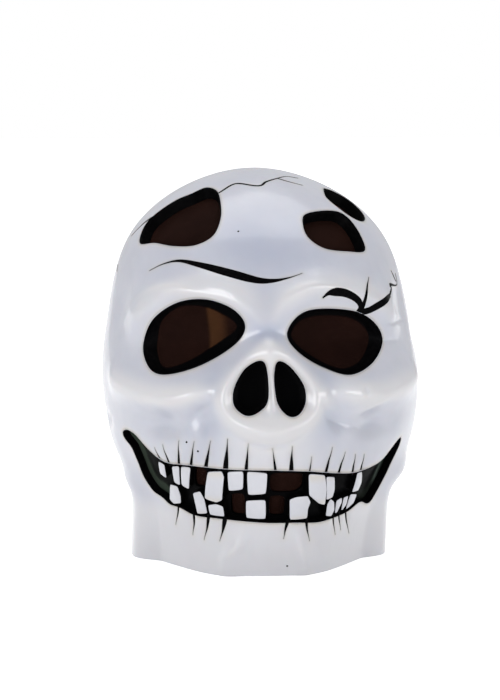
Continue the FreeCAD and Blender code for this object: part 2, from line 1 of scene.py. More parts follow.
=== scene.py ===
"""Latex skull mask: the looks of an overhead Halloween mask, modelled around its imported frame.

Metres in the scene; the tables of the head form are in millimetres. +Z is up, the face looks
along -Y and the neck rim stands on Z = 0. A place on the mask is an azimuth in degrees from
the middle of the face (positive towards +X) and a height above the rim.
"""

import math

import bmesh
import bpy
import numpy as np
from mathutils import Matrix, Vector
from mathutils import noise as mathutils_noise
from mathutils.bvhtree import BVHTree


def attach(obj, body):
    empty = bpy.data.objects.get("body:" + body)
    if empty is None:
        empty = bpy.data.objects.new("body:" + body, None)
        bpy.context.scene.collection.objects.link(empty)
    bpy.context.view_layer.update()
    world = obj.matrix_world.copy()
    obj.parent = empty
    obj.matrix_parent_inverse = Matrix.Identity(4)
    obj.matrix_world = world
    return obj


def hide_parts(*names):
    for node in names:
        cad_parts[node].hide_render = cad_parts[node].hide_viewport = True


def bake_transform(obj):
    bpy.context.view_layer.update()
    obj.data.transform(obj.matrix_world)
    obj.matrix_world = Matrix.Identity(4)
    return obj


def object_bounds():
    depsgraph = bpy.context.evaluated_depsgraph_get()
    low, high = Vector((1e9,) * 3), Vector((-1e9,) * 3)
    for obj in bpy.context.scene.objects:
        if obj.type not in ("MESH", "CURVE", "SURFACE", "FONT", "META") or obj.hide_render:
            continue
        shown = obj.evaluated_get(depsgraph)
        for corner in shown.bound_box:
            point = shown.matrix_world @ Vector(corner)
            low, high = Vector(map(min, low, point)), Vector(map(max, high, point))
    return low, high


bl_info = {
    "name": "Latex skull mask",
    "version": (1, 0, 0),
    "blender": (4, 5, 0),
    "location": "3D Viewport > Sidebar > Mask",
    "description": "Models a latex skull mask with its mesh windows, pads and neck closure",
    "category": "Object",
}

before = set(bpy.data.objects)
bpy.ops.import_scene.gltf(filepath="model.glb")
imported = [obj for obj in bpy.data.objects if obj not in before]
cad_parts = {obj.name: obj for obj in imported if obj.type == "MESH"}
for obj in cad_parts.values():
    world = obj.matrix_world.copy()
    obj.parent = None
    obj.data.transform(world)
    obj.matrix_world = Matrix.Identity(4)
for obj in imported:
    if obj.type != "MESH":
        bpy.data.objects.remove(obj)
CAD_LOW, CAD_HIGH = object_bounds()
MM = 0.001
ROOT_BODY = "mask"

# ---- head form, in millimetres

# Rings from the rim to the crown: height, half width, depth in front of the ring's middle,
# depth behind it, squareness of the front, distance of the flat chin, middle along Y, lean.
RINGS = np.array([
    (0.0, 84.0, 123.0, 71.0, 1.05, 79.5, 2.0, -0.6),
    (25.0, 83.5, 98.0, 84.0, 1.20, 84.0, -7.3, -0.2),
    (50.0, 84.0, 98.0, 92.0, 1.50, 98.0, -7.3, 0.4),
    (75.0, 98.0, 97.0, 104.0, 1.90, 120.0, -7.3, 0.6),
    (100.0, 102.0, 98.0, 114.0, 2.05, 130.0, -7.3, 0.5),
    (127.0, 103.5, 98.0, 120.0, 2.10, 130.0, -6.3, -0.3),
    (155.0, 98.0, 98.0, 121.0, 2.15, 130.0, -4.3, -1.2),
    (184.0, 93.5, 95.0, 115.0, 2.15, 130.0, -1.3, -1.6),
    (212.0, 83.5, 86.0, 100.0, 2.10, 120.0, 1.7, -1.8),
    (235.5, 58.5, 61.0, 71.0, 2.00, 90.0, 4.7, -2.0),
    (249.3, 27.0, 32.0, 35.0, 2.00, 45.0, 5.7, -2.6),
    (253.3, 0.0, 0.0, 0.0, 2.00, 0.0, 5.7, -3.0),
])
HEIGHT, HALF_WIDTH, FRONT, BACK, SQUARENESS, FLAT, MIDDLE, LEAN = range(8)
CHANGES_SIGN = (HALF_WIDTH, FRONT, BACK, FLAT)
BACK_SQUARENESS = 2.15
CROWN_HEIGHT = 251.9
CROWN_FADE = 14.0
FRONT_BLEND = 0.45
FLAT_BLEND = 12.0
FORM_SIZE = np.array([204.9, 230.1, 252.0])
SCALE = (np.array(CAD_HIGH) - np.array(CAD_LOW)) / MM / FORM_SIZE
BACK_SHRINK = 0.36        # the frame's surface is this much rounder behind the ears
BACK_START, BACK_END = 74.0, 84.0
TINY, NO_LENGTH = 1e-9, 1e-12     # keep divisions away from nought
FACING = 1e-6                     # the least that a place of the flat chin faces forwards
FORM_STEP, SKIN_STEP = 1e-3, 2e-3
RIDGE_REACH = 3                   # a ridge is felt over so many of its half widths
RIM_FADE = 30.0

# Smooth bumps: azimuth, height, half width, half height, rise, and whether mirrored.
BUMPS = [
    (0, 168, 20, 14, 3.0, False),     # between the brows
    (27, 153, 27, 17, -9.0, True),    # eye socket
    (0, 90, 44, 24, 5.0, False),      # upper jaw
    (0, 96, 16, 10, 2.0, False),      # middle of the upper jaw
    (26, 104, 9, 11, -3.0, True),     # beside the nose
    (42, 98, 16, 9, -6.0, True),      # hollow under the cheekbone
    (0, 54, 60, 24, 3.0, False),      # tooth rows
    (0, 18, 22, 18, 2.0, False),      # chin
    (84, 58, 16, 11, 5.0, False),     # corner of the jaw
    (-84, 52, 16, 8, 2.0, False),     # corner of the jaw
    (-82, 92, 10, 5, -3.0, False),    # notch under the cheekbone
    (88, 143, 14, 9, -3.0, False),    # notch above the cheekbone
    (68, 168, 16, 24, -3.0, True),    # temple
    (18, 210, 24, 18, 2.0, True),     # forehead
    (66, 66, 14, 14, -2.0, True),     # jaw behind the grin
]
# Smooth ridges: points, half width, rise, and whether mirrored.
RIDGES = [
    ([(-54, 158), (-44, 174), (-28, 184), (-14, 183), (-4, 174)], 11.0, 6.0, True),
    ([(0, 158), (0, 138)], 8.0, 5.0, False),
    ([(0, 138), (0, 108)], 4.0, 3.0, False),
    ([(0, 146), (-8, 141), (-15, 128), (-17, 114), (-12, 103), (0, 99)], 7.0, 5.0, True),
    ([(-22, 122), (-34, 117), (-50, 118), (-68, 124)], 11.0, 7.0, True),
    ([(-18, 0), (-15, 16), (-12, 28)], 7.0, 3.5, True),
]

# ---- outlines

LEFT_EYE = [(-49, 146), (-44, 162), (-34, 173), (-23, 176), (-13, 171), (-8.5, 161),
            (-13, 149.5), (-26.5, 136), (-39, 130), (-46, 134)]
RIGHT_EYE = [(7, 156), (11.5, 167), (20, 170.5), (34, 168), (43, 160), (47, 148),
             (41, 136), (30, 130), (20, 135.5), (11, 145)]
LEFT_NOSTRIL = [(-3, 140), (-1.2, 133), (-1.2, 117), (-4, 110), (-8.5, 107.5),
                (-12.5, 113), (-12.5, 123), (-8.5, 135)]
RIGHT_NOSTRIL = [(3, 139.5), (7, 136), (11.5, 125), (12, 115), (9.5, 108), (6, 107),
                 (2.8, 113.5), (1.8, 123), (1.8, 133)]
LEFT_CROWN = [(-46, 241), (-31, 238.5), (-22.5, 228), (-22, 215), (-29, 208.5), (-40, 207.5),
              (-52, 208.5), (-63, 207), (-68, 213), (-70, 221), (-63, 232), (-54, 237)]
RIGHT_CROWN = [(22, 225.5), (34, 227.5), (45, 226.5), (49, 222), (48.5, 211), (46, 203.5),
               (36, 204), (25, 206), (19, 212), (18.5, 219.5)]
UPPER_RIGHT_CROWN = [(63, 239.5), (72, 236.5), (76, 231), (70, 223), (60, 220), (52, 224),
                     (48, 233), (52, 237)]
NOSE = [(0, 146), (8, 138), (15, 124), (15.5, 112), (10, 103.5), (0, 102.5), (-10, 103.5),
        (-15.5, 112), (-15, 124), (-8, 138)]
MOUTH = [(-66, 88), (-62, 90.5), (-57, 88.5), (-51.5, 80), (-44, 72), (-32, 73.3), (-16, 73),
         (0, 73), (14, 71.5), (26, 68), (36, 66), (45, 67.5), (52.5, 70), (58, 79.5), (63, 84.5),
         (67, 72), (67.5, 60), (66, 49), (63, 40), (58.5, 39.5), (50, 44), (42, 38.5),
         (32, 37), (22, 35.8), (10, 38.7), (-4, 39.7), (-20, 40), (-35, 38.5), (-43.5, 42.5),
         (-51, 42.5), (-55, 47), (-62, 49), (-66, 58), (-64.5, 69), (-62.5, 78), (-66.5, 84)]
UPPER_TEETH = [
    [(-47.5, 72), (-44.9, 70.5), (-46.5, 61.5), (-49.2, 63.8)],
    [(-40.5, 70.2), (-37, 71.2), (-39.3, 58.4), (-41.9, 59.5)],
    [(-35.7, 71.2), (-31.5, 71.6), (-34.7, 56.7), (-37.9, 58.7)],
    [(-23.7, 70.2), (-18.2, 71.2), (-17.5, 68), (-19, 52.5), (-21.6, 50.6), (-26.8, 52)],
    [(-15.7, 71.2), (-10.1, 72), (-10.3, 61), (-15.5, 59.5)],
    [(-8.5, 72), (-1.6, 71.1), (-2, 58.5), (-8.1, 57.6)],
    [(13.8, 69.6), (20.5, 67.7), (22.3, 58.2), (23.3, 47.6), (20.1, 49.4), (14.8, 56)],
    [(21.6, 66.4), (25.3, 65.4), (26.8, 56.4), (26.6, 52), (23.8, 50.9)],
    [(38.4, 65), (40.8, 65.2), (44, 57.2), (44.2, 52), (40, 52), (39.5, 57.7)],
]
LOWER_TEETH = [
    [(-45.4, 56.9), (-41.4, 56.5), (-41.5, 50.2), (-42.8, 45.1), (-48, 43.5), (-50.1, 45.8)],
    [(-32.7, 53.9), (-28.8, 56), (-27.5, 51), (-27.3, 41.6), (-32.9, 40)],
    [(-25.7, 47.2), (-21.8, 48.8), (-18.9, 47.9), (-18.7, 41.2), (-25.5, 41.1)],
    [(-8.9, 53.2), (-2, 54.2), (-1.8, 41.7), (-9, 41.9)],
    [(7, 53.9), (9.5, 55.1), (14, 55.1), (15.6, 50.8), (14.9, 46.4), (15.4, 40), (8, 40.3)],
    [(26.1, 39.2), (25.2, 47.1), (26.1, 50.3), (28.6, 47.8), (30.5, 41.9), (29.5, 38)],
    [(30.4, 48.1), (33.2, 49.4), (34.2, 46.2), (33.1, 39.8), (32.1, 39.4)],
    [(35, 49), (37.6, 49.6), (38.6, 43.5), (36.6, 40)],
    [(39.4, 50.2), (44.6, 48.8), (44.8, 43.2), (40.2, 40)],
]
MOUTH_WINDOWS = [
    [(-31, 70.5), (-25.2, 71.6), (-27.4, 57.5), (-33.2, 56.4)],
    [(-0.6, 70.8), (12.6, 69.4), (13, 60.8), (10.2, 57), (-0.4, 57.8)],
    [(-16, 55.6), (-10, 56.4), (-10.2, 41), (-16.8, 41.4)],
    [(-0.6, 55.8), (5.8, 55), (6.6, 41), (-0.4, 41.6)],
]
MOUTH_PANEL = [(-37, 74), (-10, 75), (17, 73), (18, 38.5), (-10, 38.5), (-39, 39.5)]

# Painted lines: points, widest line in millimetres, where along it that lies, and the
# width at its two ends as a share of the widest.
CRACKS = [
    ([(-49.7, 191.6), (-42.8, 196.4), (-35.2, 198.7), (-25.8, 196.4), (-14.2, 192), (-6.8, 189.1),
      (-1.6, 187.8), (3.6, 188), (8.8, 189.4), (13.2, 191.4)], 3.5, 0.62, 0.05, 0.05),
    ([(-30.6, 238.4), (-21.3, 244), (-1.1, 243), (6.9, 245.2), (19.8, 246.7), (37.7, 247.5),
      (51.1, 246.1)], 1.1, 0.45, 0.9, 0.15),
    ([(22.2, 246.7), (39.7, 242.3)], 0.7, 0.1, 0.9, 0.1),
    ([(-70.4, 221.9), (-74.4, 217.8), (-77.5, 213.2), (-80.5, 209.4)], 1.3, 0.2, 0.9, 0.1),
    ([(-85.6, 190.7), (-84, 188.7), (-82.4, 186.7)], 0.8, 0.4, 0.2, 0.1),
    ([(20.3, 176.9), (23, 179.5), (28, 179.1), (32.5, 176.4), (35.5, 173), (36.6, 170),
      (35.9, 167.2)], 3.0, 0.28, 0.25, 0.6),
    ([(37.3, 167.5), (37.8, 176), (39.1, 182), (42.5, 187.2)], 1.7, 0.1, 0.9, 0.1),
    ([(36.5, 167.4), (39.9, 167.5), (43.6, 169.8), (49.8, 173.2), (55.5, 174.9)],
     2.9, 0.35, 0.8, 0.55),
]
THIN_CRACKS = [
    ([(55, 174.8), (59.8, 178.6), (58.9, 181.1), (69.4, 179.3), (71.6, 180.7), (71.4, 186.4)],
     1.3, 0.3, 0.9, 0.15),
    ([(64.9, 189.2), (67.6, 185.4), (70.3, 181.6)], 0.7, 0.5, 0.1, 0.6),
]
UPPER_ROOTS = [
    ([(-45.8, 72.5), (-47.1, 81.9)], 0.9), ([(-41.5, 70.5), (-42.8, 84.6)], 1.2),
    ([(-36.7, 71.5), (-35.1, 88.5)], 1.5), ([(-31.2, 71.5), (-28.4, 89.2)], 1.5),
    ([(-24.7, 71.5), (-21.8, 90.6)], 1.9), ([(-16.6, 71.5), (-15.4, 92.5)], 2.6),
    ([(-9, 71.5), (-8.1, 90)], 1.6), ([(1.4, 71.6), (0.2, 87)], 1.2),
    ([(6.9, 71), (7, 88.2)], 2.1), ([(13.9, 69.5), (14.3, 80.9)], 0.8),
    ([(20.7, 68), (22.6, 85.6)], 1.6), ([(26.9, 66.3), (28.5, 81.5)], 1.5),
    ([(35, 64.5), (33.6, 79.1)], 1.4), ([(39.9, 65), (38.4, 78.1)], 1.2),
]
LOWER_ROOTS = [
    ([(-44.3, 44.5), (-49.8, 28.9)], 1.3), ([(-35.3, 40), (-37.6, 24.5)], 1.6),
    ([(-26.3, 41), (-30.2, 22.7)], 1.9), ([(-18, 41), (-21.2, 23.9)], 2.4),
    ([(7.1, 40.5), (5.9, 27.9)], 1.8), ([(15.2, 39.5), (17.5, 24.6)], 1.6),
    ([(30.8, 39), (35.1, 23.9)], 1.1), ([(34.6, 40), (39.2, 26.1)], 1.1),
    ([(39.7, 40), (47.7, 21.8)], 1.2),
]
ROOT_TAPER = (0.08, 0.8, 0.06)    # widest at the gum, a hair at its tip


def table_value(column, up):
    """Uniform cubic B-spline through the rings, from 0 at the rim to 1 at the crown."""
    values = RINGS[:, column]
    after = -values[-2] if column in CHANGES_SIGN else values[-2]
    poles = np.concatenate([[2 * values[0] - values[1]], values, [after]])
    spans = len(values) - 1
    place = np.clip(np.asarray(up, float) * spans, 0, spans - TINY)
    first = np.floor(place).astype(int)
    f = place - first
    return ((1 - f) ** 3 * poles[first] + (3 * f ** 3 - 6 * f ** 2 + 4) * poles[first + 1]
            + (-3 * f ** 3 + 3 * f ** 2 + 3 * f + 1) * poles[first + 2] + f ** 3 * poles[first + 3]) / 6


UP_TABLE = np.linspace(0, 1, 4001)
HEIGHT_TABLE = table_value(HEIGHT, UP_TABLE)


def up_at(height):
    """Place between rim and crown, from 0 to 1, of a height on the form."""
    return np.interp(height, HEIGHT_TABLE, UP_TABLE)


def wrapped(turn):
    """The same azimuth between half a turn to the left and half a turn to the right."""
    return (turn + math.pi) % (2 * math.pi) - math.pi


def smooth_step(value):
    value = np.clip(value, 0, 1)
    return value * value * (3 - 2 * value)


def form(turn, up):
    """Points of the smooth form; turn is the azimuth in radians."""
    ring = [table_value(column, up) for column in range(RINGS.shape[1])]
    sideways, forwards = np.sin(turn), np.cos(turn)
    power = BACK_SQUARENESS + (ring[SQUARENESS] - BACK_SQUARENESS) * smooth_step(forwards / FRONT_BLEND)
    depth = np.where(forwards > 0, ring[FRONT], ring[BACK])
    wide = np.maximum(ring[HALF_WIDTH], TINY)
    radius = ((np.abs(sideways) / wide) ** power
              + (np.abs(forwards) / np.maximum(depth, TINY)) ** power) ** (-1 / power)
    flat = np.maximum(ring[FLAT], TINY) / np.maximum(forwards, FACING)
    flattened = (radius ** -FLAT_BLEND + flat ** -FLAT_BLEND) ** (-1 / FLAT_BLEND)
    radius = np.where(forwards > FACING, flattened, radius)
    return np.stack([radius * sideways + ring[LEAN], ring[MIDDLE] - radius * forwards, ring[HEIGHT]], -1)


def unit(vectors):
    return vectors / np.maximum(np.linalg.norm(vectors, axis=-1, keepdims=True), NO_LENGTH)


def square_to(surface, turn, up, step):
    """Vectors of any length that stand square on a surface."""
    across = surface(turn + step, up) - surface(turn - step, up)
    upwards = surface(turn, np.clip(up + step, 0, 1)) - surface(turn, np.clip(up - step, 0, 1))
    return np.cross(across, upwards)


def form_normal(turn, up):
    """Directions outwards from the smooth form, straight up at the crown's tip."""
    normal = square_to(form, turn, up, FORM_STEP)
    length = np.linalg.norm(normal, axis=-1, keepdims=True)
    return np.where(length > 1e-7, normal / np.maximum(length, NO_LENGTH), np.array([0, 0, 1.0]))


def form_at(azimuth, height):
    return form(np.radians(azimuth), up_at(height))


def between_points(a, b, c, d, u):
    """The Catmull-Rom curve through four points, from b where u is 0 to c where it is 1."""
    return 0.5 * (2 * b + (c - a) * u + (2 * a - 5 * b + 4 * c - d) * u ** 2
                  + (3 * b - a - 3 * c + d) * u ** 3)


def catmull(points, per_span, closed=False):
    """Samples of a Catmull-Rom curve through points."""
    points = np.asarray(points, float)
    if closed:
        path = np.concatenate([points[-1:], points, points[:2]])
    else:
        path = np.concatenate([[2 * points[0] - points[1]], points, [2 * points[-1] - points[-2]]])
    u = (np.arange(per_span) / per_span)[:, None]
    rows = [between_points(*four, u) for four in zip(path, path[1:], path[2:], path[3:])]
    if not closed:
        rows.append(points[-1:])
    return np.concatenate(rows)


def corners_cut(points, share):
    """A closed outline with its corners cut round in three rounds, the first by the given share."""
    points = np.asarray(points, float)
    for cut in (share, 0.25, 0.25):
        after = np.roll(points, -1, axis=0)
        points = np.stack([points + (after - points) * cut, after - (after - points) * cut], 1)
        points = points.reshape(-1, 2)
    return points


def ridge_samples(points, width):
    """Places along a ridge, each with the length that it stands for."""
    path = [form_at(*point) for point in points]
    path = [2 * path[0] - path[1]] + path + [2 * path[-1] - path[-2]]
    samples = []
    for a, b, c, d in zip(path, path[1:], path[2:], path[3:]):
        length = np.linalg.norm(c - b)
        count = max(2, math.ceil(length / (width / 2)))
        for index in range(count):
            samples.append((between_points(a, b, c, d, (index + 0.5) / count), length / count))
    return samples


def sides(points, mirrored):
    """The points, and their mirror image if asked for."""
    return [points, [(-azimuth, height) for azimuth, height in points]] if mirrored else [points]


BUMP_LIST = [(math.radians(side), math.hypot(*form_at(side, height)[:2]), height, wide, tall, rise)
             for azimuth, height, wide, tall, rise, both in BUMPS
             for side in ((azimuth, -azimuth) if both else (azimuth,))]
RIDGE_LIST = [(place, width, rise * length / (width * math.sqrt(math.pi)))
              for points, width, rise, both in RIDGES
              for line in sides(points, both)
              for place, length in ridge_samples(line, width)]


def relief(turn, place):
    """How far the face stands out of the smooth form."""
    total = np.zeros(len(place))
    for centre, radius, height, wide, tall, rise in BUMP_LIST:
        sideways = wrapped(turn - centre)
        total += rise * np.exp(-(sideways * radius / wide) ** 2 - ((place[:, 2] - height) / tall) ** 2)
    for centre, width, rise in RIDGE_LIST:
        near = np.flatnonzero(np.abs(place - centre).max(axis=1) < RIDGE_REACH * width)
        distance = ((place[near] - centre) ** 2).sum(axis=1)
        total[near] += rise * np.exp(-distance / width ** 2)
    return total * smooth_step((CROWN_HEIGHT - place[:, 2]) / CROWN_FADE)


# ---- distances on the skin


def to_polyline(places, line, closed):
    """Distance from places to a polyline in space, and how far along it the nearest point is."""
    starts = line if closed else line[:-1]
    ends = np.roll(line, -1, axis=0) if closed else line[1:]
    best = np.full(len(places), 1e9)
    along = np.zeros(len(places))
    lengths = np.linalg.norm(ends - starts, axis=1)
    before = np.concatenate([[0], np.cumsum(lengths)])
    for index, (a, b) in enumerate(zip(starts, ends)):
        run = b - a
        share = np.clip((places - a) @ run / max(run @ run, NO_LENGTH), 0, 1)
        distance = np.linalg.norm(places - a - share[:, None] * run, axis=1)
        nearer = distance < best
        best[nearer] = distance[nearer]
        along[nearer] = (before[index] + share[nearer] * lengths[index]) / before[-1]
    return best, along


def inside_outline(flat, azimuth, height):
    """Whether places lie inside a closed outline of azimuths and heights."""
    odd = np.zeros(len(azimuth), bool)
    for (x0, y0), (x1, y1) in zip(flat, np.roll(flat, -1, axis=0)):
        if y0 != y1:
            crosses = (y0 > height) != (y1 > height)
            odd ^= crosses & (azimuth < x0 + (height - y0) * (x1 - x0) / (y1 - y0))
    return odd


class Traced:
    """A row of points on the form, and the box that it fills."""

    def __init__(self, flat):
        self.flat = flat
        self.line = form_at(flat[:, 0], flat[:, 1])
        self.low, self.high = self.line.min(axis=0), self.line.max(axis=0)

    def near(self, place, reach):
        """Numbers of the places that may lie within reach."""
        return np.flatnonzero(((place > self.low - reach) & (place < self.high + reach)).all(axis=1))


class Outline(Traced):
    """A closed outline on the skin that tells how far outside it a place is."""

    def __init__(self, points, smooth=True, share=0.22):
        super().__init__(catmull(points, 10, closed=True) if smooth else corners_cut(points, share))

    def distance(self, turn, place, reach=14.0):
        """Signed distance in millimetres, negative inside, and reach where it is further off."""
        result = np.full(len(place), reach)
        near = self.near(place, reach)
        if len(near):
            azimuth = np.degrees(wrapped(turn[near]))
            away, _ = to_polyline(place[near], self.line, closed=True)
            sign = np.where(inside_outline(self.flat, azimuth, place[near, 2]), -1, 1)
            result[near] = np.minimum(sign * away, reach)
        return result


class Line(Traced):
    """A line on the skin with a width that changes along it."""

    def __init__(self, points, width, widest, start, end):
        self.points = points
        self.width = width
        self.widest = widest
        self.start = start
        self.end = end
        super().__init__(catmull(points, 6))

    def half_width(self, along):
        rising = self.start + (1 - self.start) * smooth_step(along / max(self.widest, 1e-6))
        falling = self.end + (1 - self.end) * smooth_step((1 - along) / (1 - self.widest))
        return self.width / 2 * np.minimum(rising, falling)

    def distance(self, place, reach=8.0):
        """Distance to the line's middle, and its half width at the nearest point."""
        result = np.full(len(place), reach)
        half = np.zeros(len(place))
        near = self.near(place, reach)
        if len(near):
            away, along = to_polyline(place[near], self.line, closed=False)
            result[near] = np.minimum(away, reach)
            half[near] = self.half_width(along)
        return result, half


# Openings of the skin: outline, and the profile of its turned-in edge from the outer skin to
# its inner end, as distance outside the outline and depth.
ROUND_LIP = [(0.55, 0.06), (0.2, 0.28), (-0.05, 0.62), (-0.25, 1.1)]
EYE_EDGE = ROUND_LIP + [(-1.1, 2.3), (-2.4, 4.0), (-3.8, 5.7), (-4.6, 6.6), (-4.9, 7.0)]
NOSTRIL_EDGE = ROUND_LIP + [(-0.6, 2.6), (-1.0, 4.6), (-1.5, 7.0)]
CROWN_EDGE = ROUND_LIP + [(-0.5, 2.4), (-0.9, 4.6), (-1.4, 7.0)]
MOUTH_EDGE = [(0.3, 0.03), (0.08, 0.14), (-0.08, 0.36), (-0.16, 0.8), (-0.25, 3.0), (-0.3, 5.6)]
LIP_START = 1.0
MOUTH_LIP_START = 0.6
FLANGE_WIDTH = 2.4
FLANGE_DEPTH = 7.0
SKIN_THICKNESS = 2.5
OPENINGS = {name: (Outline(points), LIP_START, edge) for name, points, edge in (
    ("left_eye", LEFT_EYE, EYE_EDGE),
    ("right_eye", RIGHT_EYE, EYE_EDGE),
    ("left_nostril", LEFT_NOSTRIL, NOSTRIL_EDGE),
    ("right_nostril", RIGHT_NOSTRIL, NOSTRIL_EDGE),
    ("left_crown", LEFT_CROWN, CROWN_EDGE),
    ("right_crown", RIGHT_CROWN, CROWN_EDGE),
    ("upper_right_crown", UPPER_RIGHT_CROWN, CROWN_EDGE),
)}
OPENINGS["mouth"] = (Outline(MOUTH, smooth=False), MOUTH_LIP_START, MOUTH_EDGE)
CRACK_LINES = [Line(*line) for line in CRACKS]
THIN_CRACK_LINES = [Line(*line) for line in THIN_CRACKS]
ROOTS = [Line(points, width, *ROOT_TAPER) for points, width in UPPER_ROOTS + LOWER_ROOTS]
ALL_LINES = CRACK_LINES + THIN_CRACK_LINES + ROOTS
GROOVE_DEPTH, GROOVE_MARGIN = 0.35, 0.5       # every crack lies in a shallow groove
ROOT_GROOVE, ROOT_GROOVE_SPREAD = 0.9, 2.6
GROOVE_FULL, ROOT_GROOVE_FULL = 0.6, 0.5      # half width of a line from which its groove is full
# Crests and creases too fine for the smooth form: points, half width and rise. Each is highest
# in its middle, because the half width of its line goes from 0.3 at the ends to 1 there.
FOLDS = [
    ([(-1, 151), (-8, 142), (-14.5, 127), (-16, 114), (-13, 105), (-7, 100)], 2.4, 1.3),
    ([(-0.5, 151), (7, 142), (14, 127), (15.5, 114), (12.5, 105), (6.5, 100)], 2.4, 1.3),
    ([(-15, 97), (-8.5, 91), (-0.7, 88.5), (7, 91), (12, 98)], 1.9, -1.3),
    ([(-62, 160), (-53, 175), (-39, 182), (-24, 179), (-11, 174), (-2, 162)], 3.0, 1.3),
    ([(2, 162), (5, 175), (12, 181.5), (22, 182.5), (36, 175)], 3.0, 1.3),
    ([(-48, 114), (-33, 116.5), (-21, 123)], 3.6, 1.6),
    ([(-19, 122), (-22, 112), (-27, 107), (-32, 99)], 2.8, -1.6),
    ([(19, 122), (21, 112), (29, 105), (38, 110), (50, 119)], 3.2, 1.5),
    ([(18, 116), (20, 106), (27, 99), (33, 97)], 2.6, -1.3),
    ([(43, 157.8), (56, 158.4), (69, 157.5)], 1.6, -1.0),
    ([(44, 147.8), (51, 147.6), (58, 147)], 1.6, -0.9),
    ([(-9, 36), (-12.5, 24), (-18, 14), (-19.5, 2)], 3.0, 1.6),
    ([(10, 38), (12.5, 24), (15.5, 13), (17.5, 2)], 3.0, 1.6),
]
FOLD_TAPER = (2.0, 0.5, 0.3, 0.3)
FOLD_REACH = 3.5
FOLD_LINES = [(Line(points, *FOLD_TAPER), spread, rise) for points, spread, rise in FOLDS]
# Mounds and pits: azimuth, height, half width, half height and rise.
MOUNDS = [
    (-0.7, 98.5, 12.0, 6.5, 1.6),      # under the nose
    (0, 157, 9.0, 5.0, -1.8),          # root of the nose
    (34.4, 119.7, 5.2, 4.2, 1.0),      # ringed pit of the right cheek
    (34.4, 119.7, 2.6, 2.1, -1.8),
    (50, 138, 7.0, 8.0, 0.9),          # behind the right eye
]
MOUND_PLACES = [form_at(mound[0], mound[1]) for mound in MOUNDS]


def fine_relief(place):
    """Crests, creases, mounds and pits, the grooves of the cracks and of the tooth roots."""
    total = np.zeros(len(place))
    for line, spread, rise in FOLD_LINES:
        away, half = line.distance(place, FOLD_REACH * spread)
        total += rise * np.exp(-(away / spread) ** 2) * half
    for centre, (_, _, wide, tall, rise) in zip(MOUND_PLACES, MOUNDS):
        sideways, upwards = np.hypot(*(place - centre)[:, :2].T), place[:, 2] - centre[2]
        total += rise * np.exp(-(sideways / wide) ** 2 - (upwards / tall) ** 2)
    for line in CRACK_LINES:
        away, half = line.distance(place)
        near = np.exp(-(away / (half + GROOVE_MARGIN)) ** 2)
        total -= GROOVE_DEPTH * near * smooth_step(half / GROOVE_FULL)
    for line in ROOTS:
        away, half = line.distance(place)
        near = np.exp(-(away / ROOT_GROOVE_SPREAD) ** 2)
        total -= ROOT_GROOVE * near * smooth_step(half / ROOT_GROOVE_FULL)
    return total


def skin(turn, up, depth=0.0, fine=True):
    """Points in millimetres at a depth under the outer skin."""
    turn = np.asarray(turn, float)
    up = np.asarray(up, float)
    place = form(turn, up)
    rise = relief(turn, place)
    azimuth = np.degrees(wrapped(turn))
    rise = rise - BACK_SHRINK * smooth_step((np.abs(azimuth) - BACK_START) / (BACK_END - BACK_START))
    if fine:
        rise = rise + fine_relief(place)
    return (place + form_normal(turn, up) * (rise - depth)[:, None]) * SCALE


def grounded(points, turn, depth):
    """Brings the rim's points to Z = 0, fading out above it."""
    rim = skin(turn, np.zeros(len(turn)), depth, fine=False)[:, 2]
    points = points.copy()
    points[:, 2] -= rim * (1 - smooth_step(points[:, 2] / RIM_FADE))
    return points


def skin_normal(turn, up):
    """Directions outwards from the skin without its fine relief."""
    return unit(square_to(lambda turn, up: skin(turn, up, fine=False), turn, up, SKIN_STEP))


# ---- triangulated stretches of skin


ON_LINE = 1e-7            # a value this small is on the zero line
SNAP = 0.12               # share of an edge over which a vertex is moved onto the line
WELD_GRID = 2e-4          # vertices in the same cell of this grid, in millimetres, are one


def half_edges(triangles):
    """The three edges of every triangle, each in its direction."""
    return np.concatenate([triangles[:, [0, 1]], triangles[:, [1, 2]], triangles[:, [2, 0]]])


